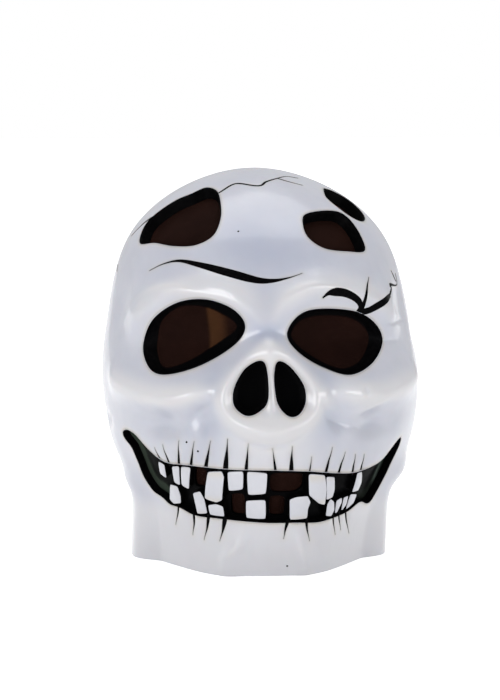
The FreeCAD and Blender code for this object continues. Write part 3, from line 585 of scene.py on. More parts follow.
class Patch:
    """A triangulated stretch of the skin: for each vertex its azimuth in radians and its place up."""

    def __init__(self, turns, ups):
        turns, ups = np.asarray(turns, float), np.asarray(ups, float)
        self.turn = np.repeat(turns, len(ups))
        self.up = np.tile(ups, len(turns))
        rows = len(ups)
        first = (np.arange(len(turns) - 1)[:, None] * rows + np.arange(rows - 1)).ravel()
        low, right, top, both = first, first + rows, first + 1, first + rows + 1
        odd = ((first // rows + first % rows) % 2 == 1)[:, None]
        one = np.where(odd, np.stack([low, right, top], 1), np.stack([low, right, both], 1))
        two = np.where(odd, np.stack([right, both, top], 1), np.stack([low, both, top], 1))
        self.triangles = np.concatenate([one, two])

    def edges(self):
        """Unique edges, and for each triangle the numbers of its three edges."""
        unique, number = np.unique(np.sort(half_edges(self.triangles), axis=1), axis=0, return_inverse=True)
        return unique, number.reshape(3, -1).T

    def split(self, chosen, turn, up, of_triangle):
        """Splits the chosen edges at the places given for all edges."""
        number = np.full(len(chosen), -1)
        number[chosen] = len(self.turn) + np.arange(chosen.sum())
        self.turn = np.concatenate([self.turn, turn[chosen]])
        self.up = np.concatenate([self.up, up[chosen]])
        self.triangles = split_triangles(self.triangles, number[of_triangle])

    def refine(self, target, rounds):
        """Splits every edge that is longer than target(turn, place) at its middle."""
        for _ in range(rounds):
            edges, of_triangle = self.edges()
            place = form(self.turn, self.up)
            length = np.linalg.norm(place[edges[:, 0]] - place[edges[:, 1]], axis=1)
            turn = self.turn[edges].mean(axis=1)
            up = self.up[edges].mean(axis=1)
            long = length > target(turn, form(turn, up))
            if not long.any():
                return
            self.split(long, turn, up, of_triangle)

    def cut(self, field):
        """Keeps the part where field(turn, place) is positive, cut cleanly along its zero line."""
        value = field(self.turn, form(self.turn, self.up))
        value[np.abs(value) < ON_LINE] = ON_LINE
        edges, of_triangle = self.edges()
        a, b = edges.T
        crossed = value[a] * value[b] < 0
        share = np.where(crossed, value[a] / np.where(crossed, value[a] - value[b], 1), 0)
        for _ in range(2):          # the distance is not linear along an edge
            turn = self.turn[a] + (self.turn[b] - self.turn[a]) * share
            up = self.up[a] + (self.up[b] - self.up[a]) * share
            where = np.flatnonzero(crossed)
            found = field(turn[where], form(turn[where], up[where]))
            share[where] = np.clip(share[where] + found / (value[a[where]] - value[b[where]]), 0.001, 0.999)
        turn = self.turn[a] + (self.turn[b] - self.turn[a]) * share
        up = self.up[a] + (self.up[b] - self.up[a]) * share
        # a vertex close to the line is moved onto it, so that no sliver is left
        target = np.full(len(self.turn), -1)
        near = crossed & (share < SNAP)
        target[a[near]] = np.flatnonzero(near)
        near = crossed & (share > 1 - SNAP)
        target[b[near]] = np.flatnonzero(near)
        moved = target >= 0
        self.turn[moved], self.up[moved] = turn[target[moved]], up[target[moved]]
        value[moved] = 0.0
        crossed = value[a] * value[b] < 0
        self.split(crossed, turn, up, of_triangle)
        corners = np.concatenate([value, np.zeros(crossed.sum())])[self.triangles]
        self.triangles = self.triangles[(corners.min(axis=1) >= 0) & (corners.max(axis=1) > 0)]

    def weld(self, points):
        """Merges vertices at the same place in space and drops what has no area."""
        keys = np.round(points / WELD_GRID).astype(np.int64)
        _, first, number = np.unique(keys, axis=0, return_index=True, return_inverse=True)
        triangles = number.reshape(-1)[self.triangles]
        t = triangles
        keep = (t[:, 0] != t[:, 1]) & (t[:, 1] != t[:, 2]) & (t[:, 2] != t[:, 0])
        triangles = triangles[keep]
        used, back = np.unique(triangles, return_inverse=True)
        self.turn, self.up = self.turn[first][used], self.up[first][used]
        self.triangles = back.reshape(-1, 3)
        return points[first][used]

    def flat(self, numbers):
        """Azimuths and heights of some of its vertices."""
        turn, up = self.turn[numbers], self.up[numbers]
        return np.stack([np.degrees(turn), form(turn, up)[:, 2]], 1)


def split_triangles(triangles, middles):
    """Triangles split at the given middles of their edges, -1 where an edge is whole.

    Edge 0 runs from corner 0 to 1, edge 1 from 1 to 2 and edge 2 from 2 to 0."""
    count = (middles >= 0).sum(axis=1)
    parts = [triangles[count == 0]]
    for turn in range(3):
        order = [turn, (turn + 1) % 3, (turn + 2) % 3]
        a, b, c = (triangles[:, k] for k in order)
        ab, bc, ca = (middles[:, k] for k in order)
        one = (count == 1) & (ab >= 0)
        parts += [np.stack([a, ab, c], 1)[one], np.stack([ab, b, c], 1)[one]]
        two = (count == 2) & (ca < 0)       # ab and bc are split
        parts += [np.stack([ab, b, bc], 1)[two], np.stack([a, ab, bc], 1)[two],
                  np.stack([a, bc, c], 1)[two]]
    a, b, c = triangles.T
    ab, bc, ca = middles.T
    three = count == 3
    parts += [np.stack(s, 1)[three] for s in ((a, ab, ca), (ab, b, bc), (ca, bc, c), (ab, bc, ca))]
    return np.concatenate(parts)


def boundary_loops(triangles):
    """Closed rows of vertices round the holes and edges, each in its triangles' direction."""
    edges = half_edges(triangles)
    size = triangles.max() + 1
    forward = edges[:, 0] * size + edges[:, 1]
    backward = edges[:, 1] * size + edges[:, 0]
    open_edges = edges[~np.isin(forward, backward)]
    after = {}
    for a, b in open_edges.tolist():
        after.setdefault(a, []).append(b)
    loops = []
    while after:
        start = next(iter(after))
        loop, here = [], start
        while here in after:
            loop.append(here)
            ways = after[here]
            there = ways.pop()
            if not ways:
                del after[here]
            here = there
        loops.append(np.array(loop))
    return loops


class Shell:
    """Collects points, triangles, their finish and vertex values, and makes one mesh of them."""

    def __init__(self):
        self.points = []
        self.count = 0
        self.triangles = []
        self.finishes = []
        self.values = {}

    def add_points(self, points, **values):
        numbers = self.count + np.arange(len(points))
        self.points.append(np.asarray(points, float))
        self.count += len(points)
        for name, value in values.items():
            self.values.setdefault(name, []).append((numbers, value))
        return numbers

    def add_triangles(self, triangles, finish=0):
        triangles = np.asarray(triangles).reshape(-1, 3)
        self.triangles.append(triangles)
        self.finishes.append(np.full(len(triangles), finish))

    def place(self):
        return np.concatenate(self.points)

    def zip_rings(self, one, two, finish):
        """A strip of triangles between two closed rows of vertices that run the same way."""
        points = self.place()
        one, two = np.asarray(one), np.asarray(two)
        start = np.linalg.norm(points[two] - points[one[0]], axis=1).argmin()
        two = np.roll(two, -start)
        p, q = points[one], points[two]
        n, m = len(one), len(two)
        i = j = 0
        made = []
        while i < n or j < m:
            a, b = p[i % n], q[j % m]
            step_one = np.inf if i >= n else ((p[(i + 1) % n] - b) ** 2).sum()
            step_two = np.inf if j >= m else ((q[(j + 1) % m] - a) ** 2).sum()
            if step_one <= step_two:
                made.append((one[(i + 1) % n], one[i % n], two[j % m]))
                i += 1
            else:
                made.append((one[i % n], two[j % m], two[(j + 1) % m]))
                j += 1
        self.add_triangles(made, finish)

    def ring_strip(self, one, two, finish=0):
        """A strip between two rows with the same number of vertices."""
        a, b = np.asarray(one), np.asarray(two)
        a1, b1 = np.roll(a, -1), np.roll(b, -1)
        self.add_triangles(np.concatenate([np.stack([a1, a, b], 1), np.stack([b, b1, a1], 1)]), finish)

    def tube(self, rings):
        """Strips from each row to the next."""
        for one, two in zip(rings, rings[1:]):
            self.ring_strip(one, two)

    def cap(self, ring, tip, finish=0, flipped=False):
        """A fan from a closed row of vertices to a tip."""
        top = self.add_points(np.reshape(tip, (1, 3)))[0]
        after = np.roll(ring, -1)
        pairs = zip(after, ring) if flipped else zip(ring, after)
        self.add_triangles([(a, b, top) for a, b in pairs], finish)

    def middle(self, ring):
        """The middle of a row of vertices."""
        return self.place()[ring].mean(axis=0)

    def make(self, name, *finishes):
        """Makes the object, in metres, with its finishes as material slots."""
        points = self.place() * MM
        triangles = np.concatenate(self.triangles)
        used, back = np.unique(triangles, return_inverse=True)
        mesh = bpy.data.meshes.new(name)
        mesh.from_pydata(points[used].tolist(), [], back.reshape(-1, 3).tolist())
        for key, rows in self.values.items():
            value = np.zeros(self.count)
            for numbers, given in rows:
                value[numbers] = given
            attribute = mesh.attributes.new(key, "FLOAT", "POINT")
            attribute.data.foreach_set("value", value[used].astype(np.float32))
        piece = bpy.data.objects.new(name, mesh)
        bpy.context.scene.collection.objects.link(piece)
        for maker in finishes:
            mesh.materials.append(finish_of(maker))
        mesh.polygons.foreach_set("material_index", np.concatenate(self.finishes).astype(np.int32))
        mesh.update()
        return piece


def same_way(loop_uv, outline_flat):
    """Whether a row of vertices and an outline turn the same way round."""
    def area(flat):
        x, y = flat[:, 0], flat[:, 1]
        return (x * np.roll(y, -1) - np.roll(x, -1) * y).sum()
    return area(loop_uv) * area(outline_flat) > 0


def spaced_outline(flat, spacing):
    """The outline's azimuths and heights, evenly spaced on the skin."""
    closed = np.concatenate([flat, flat[:1]])
    line = form_at(closed[:, 0], closed[:, 1])
    along = np.concatenate([[0], np.cumsum(np.linalg.norm(np.diff(line, axis=0), axis=1))])
    count = max(24, int(along[-1] / spacing))
    wanted = np.arange(count) / count * along[-1]
    return np.stack([np.interp(wanted, along, closed[:, 0]), np.interp(wanted, along, closed[:, 1])], 1)


def smoothed(points, rounds):
    """A closed row of points, evened out."""
    for _ in range(rounds):
        points = points * 0.5 + (np.roll(points, 1, axis=0) + np.roll(points, -1, axis=0)) * 0.25
    return points


def edge_rings(outline, profile, spacing, base_depth):
    """Rows of points of a turned-in edge: one row for each (distance outside, depth)."""
    flat = spaced_outline(outline.flat, spacing)
    turn, up = np.radians(flat[:, 0]), up_at(flat[:, 1])
    places = skin(turn, up, base_depth, fine=False)
    normal = unit(smoothed(skin_normal(turn, up), 6))
    tangent = unit(smoothed(np.roll(places, -1, axis=0) - np.roll(places, 1, axis=0), 2))
    outwards = np.cross(tangent, normal)
    middle = places.mean(axis=0)
    if ((places - middle) * outwards).sum() < 0:
        outwards = -outwards
    rows = []
    for away, depth in profile:
        row = places + outwards * away - normal * depth
        rows.append(smoothed(row, int(max(0, -away) * 3)))
    return flat, rows


def add_edge(shell, numbers, patch, loop, outline, profile, finishes, spacing=0.8, base_depth=0.0):
    """Sweeps a profile from an edge of a patch's vertices round an outline; returns its last row."""
    flat, rows = edge_rings(outline, profile, spacing, base_depth)
    if not same_way(patch.flat(loop), flat):
        rows = [row[::-1] for row in rows]
    last = numbers[loop]
    for index, row in enumerate(rows):
        here = shell.add_points(row)
        finish = finishes[min(index, len(finishes) - 1)]
        if index == 0:
            shell.zip_rings(last, here, finish)
        else:
            shell.ring_strip(last, here, finish)
        last = here
    return last


# ---- finishes


def srgb(red, green, blue):
    """A colour written as 0 to 255 on a screen, as the linear values that Blender uses."""
    return tuple(c / 12.92 if c <= 0.04045 else ((c + 0.055) / 1.055) ** 2.4
                 for c in (red / 255, green / 255, blue / 255))


class Wire:
    """A node's output, on which shader maths is written as Python."""

    def __init__(self, nodes, socket):
        self.nodes = nodes
        self.socket = socket

    def maths(self, operation, one, two=0.0):
        return self.nodes.node("ShaderNodeMath", {0: one, 1: two}, operation=operation)

    def __add__(self, other):
        return self.maths("ADD", self, other)

    __radd__ = __add__

    def __mul__(self, other):
        return self.maths("MULTIPLY", self, other)

    def __rsub__(self, other):
        return self.maths("SUBTRACT", other, self)

    def sine(self):
        return self.maths("SINE", self)

    def size(self):
        return self.maths("ABSOLUTE", self)

    def between(self, low, high):
        """0 up to low and 1 from high, smooth in between."""
        return self.nodes.node("ShaderNodeMapRange", {"Value": self, "From Min": low, "From Max": high},
                               interpolation_type="SMOOTHSTEP")


class Nodes:
    """The node tree of a material or of the world."""

    def __init__(self, owner):
        owner.use_nodes = True
        self.tree = owner.node_tree

    def feed(self, socket, value):
        if isinstance(value, Wire):
            self.tree.links.new(value.socket, socket)
        elif hasattr(value, "__len__") and len(value) == 3 and socket.type == "RGBA":
            socket.default_value = (*value, 1.0)
        else:
            socket.default_value = value

    def node(self, kind, links=None, output=0, **settings):
        """Any node: its type, the values or links of its sockets, its output and its settings."""
        node = self.tree.nodes.new(kind)
        for key, value in settings.items():
            setattr(node, key, value)
        for key, value in (links or {}).items():
            self.feed(node.inputs[key], value)
        return Wire(self, node.outputs[output])

    def rays(self, *kinds):
        """For each kind of ray, 1 where it is the one that is followed."""
        outputs = self.node("ShaderNodeLightPath").socket.node.outputs
        return [Wire(self, outputs[f"Is {kind} Ray"]) for kind in kinds]


class Finish(Nodes):
    """A material with its nodes; constants go straight onto the shader's sockets."""

    def __init__(self, name, **constants):
        self.material = bpy.data.materials.new(name)
        super().__init__(self.material)
        self.shader = self.tree.nodes["Principled BSDF"]
        for key, value in constants.items():
            self.shader.inputs[key.replace("_", " ").title().replace("Ior", "IOR")].default_value = value

    def attribute(self, name):
        return self.node("ShaderNodeAttribute", output="Fac", attribute_name=name)

    def noise(self, scale, detail=3.0, roughness=0.5, stretch=None):
        """Noise from 0 to 1; scale is in features to the metre of the object's own coordinates."""
        place = self.node("ShaderNodeTexCoord", output="Object")
        if stretch:
            place = self.node("ShaderNodeMapping", {"Vector": place, "Scale": stretch})
        return self.node("ShaderNodeTexNoise",
                         {"Vector": place, "Scale": scale, "Detail": detail, "Roughness": roughness})

    def mix(self, factor, one, two):
        """One colour going over into another."""
        return self.node("ShaderNodeMix", {0: factor, 6: one, 7: two}, output=2, data_type="RGBA")

    def bump(self, height, strength, distance, normal=None):
        links = {"Height": height, "Strength": strength, "Distance": distance}
        if normal:
            links["Normal"] = normal
        return self.node("ShaderNodeBump", links)

    def done(self, base, roughness, normal, **others):
        """Feeds the shader what changes over the surface and returns the material."""
        for name, value in {"Base Color": base, "Roughness": roughness, "Normal": normal, **others}.items():
            self.feed(self.shader.inputs[name], value)
        return self.material


def skull_latex(colours):
    """Glossy cast latex, airbrushed beige and olive round its painted edges, with a painted highlight on
    raised places and a painted shade in recesses.
    """
    finish = Finish("skull_latex", Ior=1.5, Coat_Weight=0.4, Coat_Roughness=0.08,
                    Subsurface_Weight=0.06, Subsurface_Scale=0.003)
    cloud = finish.noise(28, 3)
    speck = finish.noise(900, 2)
    base = finish.mix(cloud.between(0.3, 0.7), colours.latex, colours.latex_shade)
    # Painted shade in recesses and painted highlight on raised places and the lower jaw.
    base = finish.mix(finish.attribute("hollow") * (0.55 + cloud * 0.3), base, colours.latex_hollow)
    base = finish.mix(finish.attribute("raised") * (0.55 + cloud * 0.3), base, colours.latex_raised)
    base = finish.mix(finish.attribute("warm") * (0.55 + cloud * 0.5), base, colours.beige)
    spray = finish.attribute("olive") * (0.7 + speck * 0.6)
    base = finish.mix(spray, base, colours.olive)
    ripple = finish.noise(75, 2)
    pores = finish.noise(620, 4, 0.6)
    normal = finish.bump(ripple, 0.35, 0.0012)
    normal = finish.bump(pores, 0.12, 0.0003, normal)
    return finish.done(base, 0.27 + cloud * 0.08 + spray * 0.1, normal)


def black_paint(colours):
    """Brushed-on glossy black, with the brush's drag in it."""
    finish = Finish("black_paint", Ior=1.06)
    drag = finish.noise(420, 3, 0.6)
    base = finish.mix(drag.between(0.35, 0.75), colours.paint, colours.paint_worn)
    return finish.done(base, 0.26 + drag * 0.16, finish.bump(drag, 0.2, 0.0004))


def channel_paint(colours):
    """Black of the mouth, with a painted green reflection in its two side channels and a painted pale
    highlight in the right one.
    """
    finish = Finish("channel_paint", Ior=1.06)
    drag = finish.noise(300, 3, 0.6)
    # Painted reflection and painted highlight in the side channels.
    base = finish.mix(finish.attribute("sheen") * (0.5 + drag), colours.paint, colours.channel)
    base = finish.mix(finish.attribute("glint"), base, colours.glint)
    return finish.done(base, 0.26 + drag * 0.2, finish.bump(drag, 0.25, 0.0005))


def tooth_enamel(colours):
    """White tooth paint, creamier towards the gums."""
    finish = Finish("tooth_enamel", Ior=1.5, Coat_Weight=0.4, Coat_Roughness=0.1)
    cloud = finish.noise(160, 3)
    base = finish.mix(cloud.between(0.2, 0.9) * 0.45, colours.tooth, colours.latex)
    base = finish.mix(finish.attribute("warm") * 0.8, base, colours.beige)
    return finish.done(base, 0.25 + cloud * 0.1, finish.bump(finish.noise(500, 3), 0.12, 0.0004))


def inner_latex(colours):
    """Unpainted latex inside the mask: matt, mottled, with runs where it was poured."""
    finish = Finish("inner_latex", Ior=1.5)
    cloud = finish.noise(45, 5, 0.6)
    runs = finish.noise(60, 3, 0.5, stretch=(1, 1, 0.2))
    base = finish.mix(cloud.between(0.3, 0.7), colours.inner, colours.inner_shade)
    normal = finish.bump(runs, 0.4, 0.0015)
    normal = finish.bump(finish.noise(700, 3), 0.25, 0.0003, normal)
    return finish.done(base, 0.5 + runs * 0.2, normal)


def window_mesh(colours):
    """Brown see-through fabric: crossed threads with open holes between them."""
    finish = Finish("window_mesh", Ior=1.06)
    along, across = finish.attribute("along"), finish.attribute("across")
    pitch = 2 * math.pi / colours.mesh_pitch * MM
    warp = (along * pitch).sine().size()
    weft = (across * pitch).sine().size()
    holes = (warp * weft).between(0.35, 0.8)
    cloud = finish.noise(35, 3)
    # Painted light: a lighter stripe where light shows through the window.
    band = finish.attribute("band") * (0.75 + cloud * 0.5)
    base = finish.mix(cloud.between(0.3, 0.7), colours.mesh, colours.mesh_shade)
    base = finish.mix(band, base, colours.mesh_light)
    base = finish.mix(finish.attribute("black"), base, colours.paint)
    holes = holes * (1 - finish.attribute("black"))
    return finish.done(base, 0.5 + cloud * 0.2, finish.bump(warp + weft, 0.15, 0.0002), Alpha=1 - holes * 0.3)


def webbing(colours):
    """Black woven nylon tape: ribs along it and a fine cross weave."""
    finish = Finish("webbing", Ior=1.5, Sheen_Weight=0.25, Sheen_Roughness=0.5)
    along, across = finish.attribute("along"), finish.attribute("across")
    ribs = (across * (2 * math.pi / RIB_PITCH)).sine()
    weave = (along * (2 * math.pi / WEAVE_PITCH) + ribs * 1.5).sine()
    fuzz = finish.noise(1500, 2)
    cloth = (weave * 0.5 + ribs * 0.5 + 1) * 0.5
    base = finish.mix(cloth * 0.7 + fuzz * 0.3, colours.webbing, colours.webbing_light)
    return finish.done(base, 0.62 + fuzz * 0.2, finish.bump(cloth + fuzz * 0.3, 0.6, 0.0004))


def hook_plastic(colours):
    """Moulded nylon of the hook tape."""
    finish = Finish("hook_plastic", Ior=1.5)
    cloud = finish.noise(900, 2)
    base = finish.mix(cloud, colours.webbing, colours.webbing_light)
    return finish.done(base, 0.38 + cloud * 0.2, finish.bump(cloud, 0.3, 0.0002))


def loop_pile(colours):
    """Brushed pile of the loop tape."""
    finish = Finish("loop_pile", Ior=1.5, Sheen_Weight=0.5, Sheen_Roughness=0.4)
    fibres = finish.noise(2600, 4, 0.7)
    tufts = finish.noise(700, 3, 0.6)
    base = finish.mix(fibres.between(0.3, 0.75), colours.webbing, colours.webbing_light)
    return finish.done(base, 0.8 + tufts * 0.15, finish.bump(fibres + tufts, 0.8, 0.0006))


def pad_cloth(colours):
    """Brushed knit over foam, with a sewn channel near the pad's edge."""
    finish = Finish("pad_cloth", Ior=1.5, Sheen_Weight=0.4, Sheen_Roughness=0.5)
    knit = finish.noise(1800, 3, 0.6)
    lint = finish.noise(220, 4, 0.6)
    base = finish.mix(knit.between(0.3, 0.7), colours.pad, colours.pad_light)
    base = finish.mix(lint.between(0.62, 0.8) * 0.4, base, colours.pad_lint)
    return finish.done(base, 0.78 + lint * 0.15, finish.bump(knit + lint * 0.5, 0.6, 0.0006))


def rivet_steel(colours):
    """Nickel-plated steel with fine turning marks and a little tarnish."""
    finish = Finish("rivet_steel", Metallic=1.0)
    tarnish = finish.noise(600, 3, 0.6)
    base = finish.mix(tarnish.between(0.45, 0.75), colours.steel, colours.steel_dull)
    return finish.done(base, 0.22 + tarnish * 0.25, finish.bump(finish.noise(2500, 2), 0.1, 0.0001))


def thread(colours):
    """Waxed sewing thread, a little paler than the webbing."""
    finish = Finish("thread", Ior=1.5)
    twist = finish.noise(3000, 2)
    base = finish.mix(twist, colours.webbing_light, colours.thread)
    return finish.done(base, 0.55 + twist * 0.15, finish.bump(twist, 0.4, 0.0001))


FINISHES = {}


def finish_of(maker):
    """The material that a finish function makes, made once."""
    if maker.__name__ not in FINISHES:
        FINISHES[maker.__name__] = maker(bpy.context.scene.mask_colours)
    return FINISHES[maker.__name__]


# ---- helpers for pieces


def edit_mesh(piece, operation):
    """Changes a piece's mesh in place."""
    model = bmesh.new()
    model.from_mesh(piece.data)
    operation(model)
    model.to_mesh(piece.data)
    model.free()


def complete(piece, body, replaced=(), angle=35.0, recalculate=False):
    """Smooth shading, the body it rides on and the frame's nodes that it stands for."""
    if recalculate:
        edit_mesh(piece, lambda model: bmesh.ops.recalc_face_normals(model, faces=model.faces))
    bpy.ops.object.select_all(action="DESELECT")
    bpy.context.view_layer.objects.active = piece
    piece.select_set(True)
    bpy.ops.object.shade_smooth_by_angle(angle=math.radians(angle))
    if body:
        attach(piece, body)
    if replaced:
        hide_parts(*replaced)


def outline_area(points, margin):
    """Bounds of an outline in azimuth and height, widened by a margin in millimetres."""
    flat = np.asarray(points, float)
    aside = margin / 1.4      # a degree of azimuth is about 1.4 mm
    return (flat[:, 0].min() - aside, flat[:, 0].max() + aside,
            flat[:, 1].min() - margin, flat[:, 1].max() + margin)


LEAST_RADIUS = 60.0       # of the head, for the columns of a stretch of skin


def skin_area(area, field, spacing, target=None):
    """A cut-out stretch of the skin within bounds in azimuth and height, split finer for a target."""
    left, right, low, high = area
    middle = form_at(np.array([left, right]), np.array([low, high])).mean(axis=0)
    arc = math.radians(right - left) * max(LEAST_RADIUS, np.hypot(*middle[:2]))
    columns = max(3, int(arc / spacing))
    rows = max(3, int((high - low) / spacing))
    patch = Patch(np.radians(np.linspace(left, right, columns)),
                  np.linspace(up_at(low), up_at(high), rows))
    if target:
        patch.refine(target, 3)
    patch.cut(field)
    patch.weld(skin(patch.turn, patch.up, fine=False))
    return patch


def add_slab(shell, patch, outer, inner, **values):
    """A closed plate over a patch, between two depths; values are given for both faces."""
    top = shell.add_points(skin(patch.turn, patch.up, outer, fine=False), **values)
    bottom = shell.add_points(skin(patch.turn, patch.up, inner, fine=False), **values)
    shell.add_triangles(top[patch.triangles])
    shell.add_triangles(bottom[patch.triangles[:, ::-1]])
    for loop in boundary_loops(patch.triangles):
        shell.ring_strip(top[loop], bottom[loop])


# ---- latex skin

SLIT_WIDTH = 3.0
SLIT_HEIGHT = 104.0
SLIT_END_RADIUS = 3.2
FACE_EDGE = 96.0          # the mesh is fine up to this azimuth on either side
WELD = 2e-6               # points closer than this, in metres, are one
FACE_SPACING, BACK_SPACING, INNER_SPACING = 3.1, 7.8, 7.8
OUTER_ROWS, ROW_STEP = 58, 4      # rows from rim to crown, and degrees from column to column
SKIN_TURNS = -230, 131            # azimuths of the first column and past the last one
OPENING_REACH, SLIT_REACH, LINE_REACH, SPACING_REACH = 14.0, 30.0, 7.0, 9.0


def outside_openings(turn, place, margin=None):
    """Distance outside the nearest opening, less a margin or, without one, the start of its lip."""
    nearest = np.full(len(place), OPENING_REACH)
    for outline, start, _ in OPENINGS.values():
        nearest = np.minimum(nearest, outline.distance(turn, place) - (start if margin is None else margin))
    return nearest


def outside_slit(place):
    """Distance outside the slit in the back of the neck and its round end."""
    across, up = place[:, 0], place[:, 2] - SLIT_HEIGHT
    away = np.where(up < 0, np.abs(across) - SLIT_WIDTH / 2, SLIT_REACH)
    away = np.minimum(away, np.hypot(across, up) - SLIT_END_RADIUS)
    return np.where(place[:, 1] > 0, away, SLIT_REACH)


def near_lines(place):
    """Distance to the edge of the nearest painted line."""
    nearest = np.full(len(place), LINE_REACH)
    for line in ALL_LINES:
        away, half = line.distance(place, LINE_REACH)
        nearest = np.minimum(nearest, away - half)
    return nearest


def outer_spacing(turn, place):
    """The longest edge that the outer skin may have at a place."""
    azimuth = np.abs(np.degrees(wrapped(turn)))
    spacing = np.where(azimuth < FACE_EDGE, FACE_SPACING, BACK_SPACING)
    spacing = np.minimum(spacing, 0.95 + 0.4 * np.maximum(0, near_lines(place) - 0.5))
    spacing = np.minimum(spacing, 0.9 + 0.4 * np.maximum(0, outside_openings(turn, place)))
    for line, spread, _ in FOLD_LINES:
        away, _ = line.distance(place, SPACING_REACH)
        spacing = np.minimum(spacing, 2.1 + 0.5 * np.maximum(0, away - spread))
    return np.minimum(spacing, 0.8 + 0.4 * np.maximum(0, outside_slit(place)))


def inner_spacing(turn, place):
    """The longest edge that the inner skin may have at a place."""
    away = np.abs(outside_openings(turn, place, FLANGE_WIDTH))
    spacing = np.minimum(INNER_SPACING, 2.4 + 0.7 * away)
    return np.minimum(spacing, 2.4 + 0.7 * np.maximum(0, outside_slit(place)))


# Fringes of spray round the painted lines, the openings and the mouth, in this order: for olive
# the share, the start and the spread in millimetres, for beige the share and the spread.
OLIVE_FRINGES = [(0.35, 0.0, 0.45), (0.35, 0.8, 0.6), (0.4, 0.4, 0.6)]
BEIGE_FRINGES = [(0.18, 2.2), (0.4, 2.4), (0.45, 2.6)]


def spray(turn, place):
    """How much beige and olive is airbrushed at each place of the outer skin, from 0 to 1."""
    distances = (near_lines(place), outside_openings(turn, place, 0.0),
                 OPENINGS["mouth"][0].distance(turn, place))
    olive = [share * np.exp(-(np.maximum(0, away - start) / spread) ** 2)
             for away, (share, start, spread) in zip(distances, OLIVE_FRINGES)]
    warm = [share * np.exp(-(away / spread) ** 2) for away, (share, spread) in zip(distances, BEIGE_FRINGES)]
    return np.maximum.reduce(warm), np.maximum.reduce(olive)


# Painted shade: patches darkened where shade falls, in recesses and over the middle of the forehead: azimuth,
# height, half width, half height and share.
SHADED = [(0, 156, 13, 6, 1.1), (0, 206, 46, 26, 0.85), (-20, 128, 8, 14, 0.5), (20, 128, 8, 14, 0.5),
          (0, 174, 12, 8, 0.7), (-22, 98, 12, 12, 0.6), (21, 98, 12, 12, 0.6), (20, 186, 16, 6, 0.4)]
# Painted highlight grows with the rise of the relief, and painted shade with its fall.
TONE_START = 1.5                  # rise or fall in millimetres from which the tone changes
RAISED_RUN, HOLLOW_RUN, HOLLOW_SHARE = 6.5, 8.0, 0.6
FINE_WEIGHT = 1.6                 # the fine relief counts for more than the form's
FACE_FADE = 15.0
# Painted light on the lower jaw: lightened below this height, over this fade, by this share.
JAW_TOP, JAW_FADE, JAW_SHARE = 48, 14.0, 0.7


def airbrush(turn, place):
    """How much painted highlight lies on raised places and the lower jaw, and how much painted blue-grey
    shade in recesses and given patches, from 0 to 1.
    """
    rise = relief(turn, place) + FINE_WEIGHT * fine_relief(place)
    face = smooth_step((FACE_EDGE - np.abs(np.degrees(turn))) / FACE_FADE)
    raised = smooth_step((rise - TONE_START) / RAISED_RUN) * face
    hollow = HOLLOW_SHARE * smooth_step((-rise - TONE_START) / HOLLOW_RUN)
    for azimuth, height, wide, tall, share in SHADED:
        centre = form_at(azimuth, height)
        sideways = np.hypot(*(place - centre)[:, :2].T)
        hollow += share * np.exp(-(sideways / wide) ** 2 - ((place[:, 2] - height) / tall) ** 2)
    jaw = JAW_SHARE * smooth_step((JAW_TOP - place[:, 2]) / JAW_FADE)
    return np.maximum(raised, jaw), np.minimum(hollow * face, 1.0)


def nearest_opening(points):
    """Name of the opening whose outline a row of skin points runs round, or None for the rim."""
    if points[:, 2].min() < 2.0:
        return None
    middle = points.mean(axis=0)
    return min(OPENINGS, key=lambda name: np.linalg.norm(OPENINGS[name][0].line.mean(axis=0) - middle))


def join_flange(shell, names, last_rows, wall):
    """The flat end of a flange that several neighbouring openings share."""
    outlines = [(OPENINGS[name][0], OPENINGS[name][2][-1][0]) for name in names]

    def field(turn, place):
        away = [outline.distance(turn, place) for outline, _ in outlines]
        beyond = [distance - end for distance, (_, end) in zip(away, outlines)]
        return np.minimum.reduce(beyond + [FLANGE_WIDTH - np.minimum.reduce(away)])

    points = np.concatenate([outline.flat for outline, _ in outlines])
    patch = skin_area(outline_area(points, 5.0), field, 1.0)
    face = shell.add_points(skin(patch.turn, patch.up, FLANGE_DEPTH, fine=False))
    shell.add_triangles(face[patch.triangles[:, ::-1]], 1)
    loops = sorted(boundary_loops(patch.triangles), key=len)
    shell.zip_rings(face[loops[-1][::-1]], wall, 1)
    place = shell.place()
    for loop in loops[:-1]:
        middle = place[face[loop]].mean(axis=0)
        name = min(names, key=lambda key: np.linalg.norm(place[last_rows[key]].mean(axis=0) - middle))
        shell.zip_rings(last_rows[name], face[loop], 1)


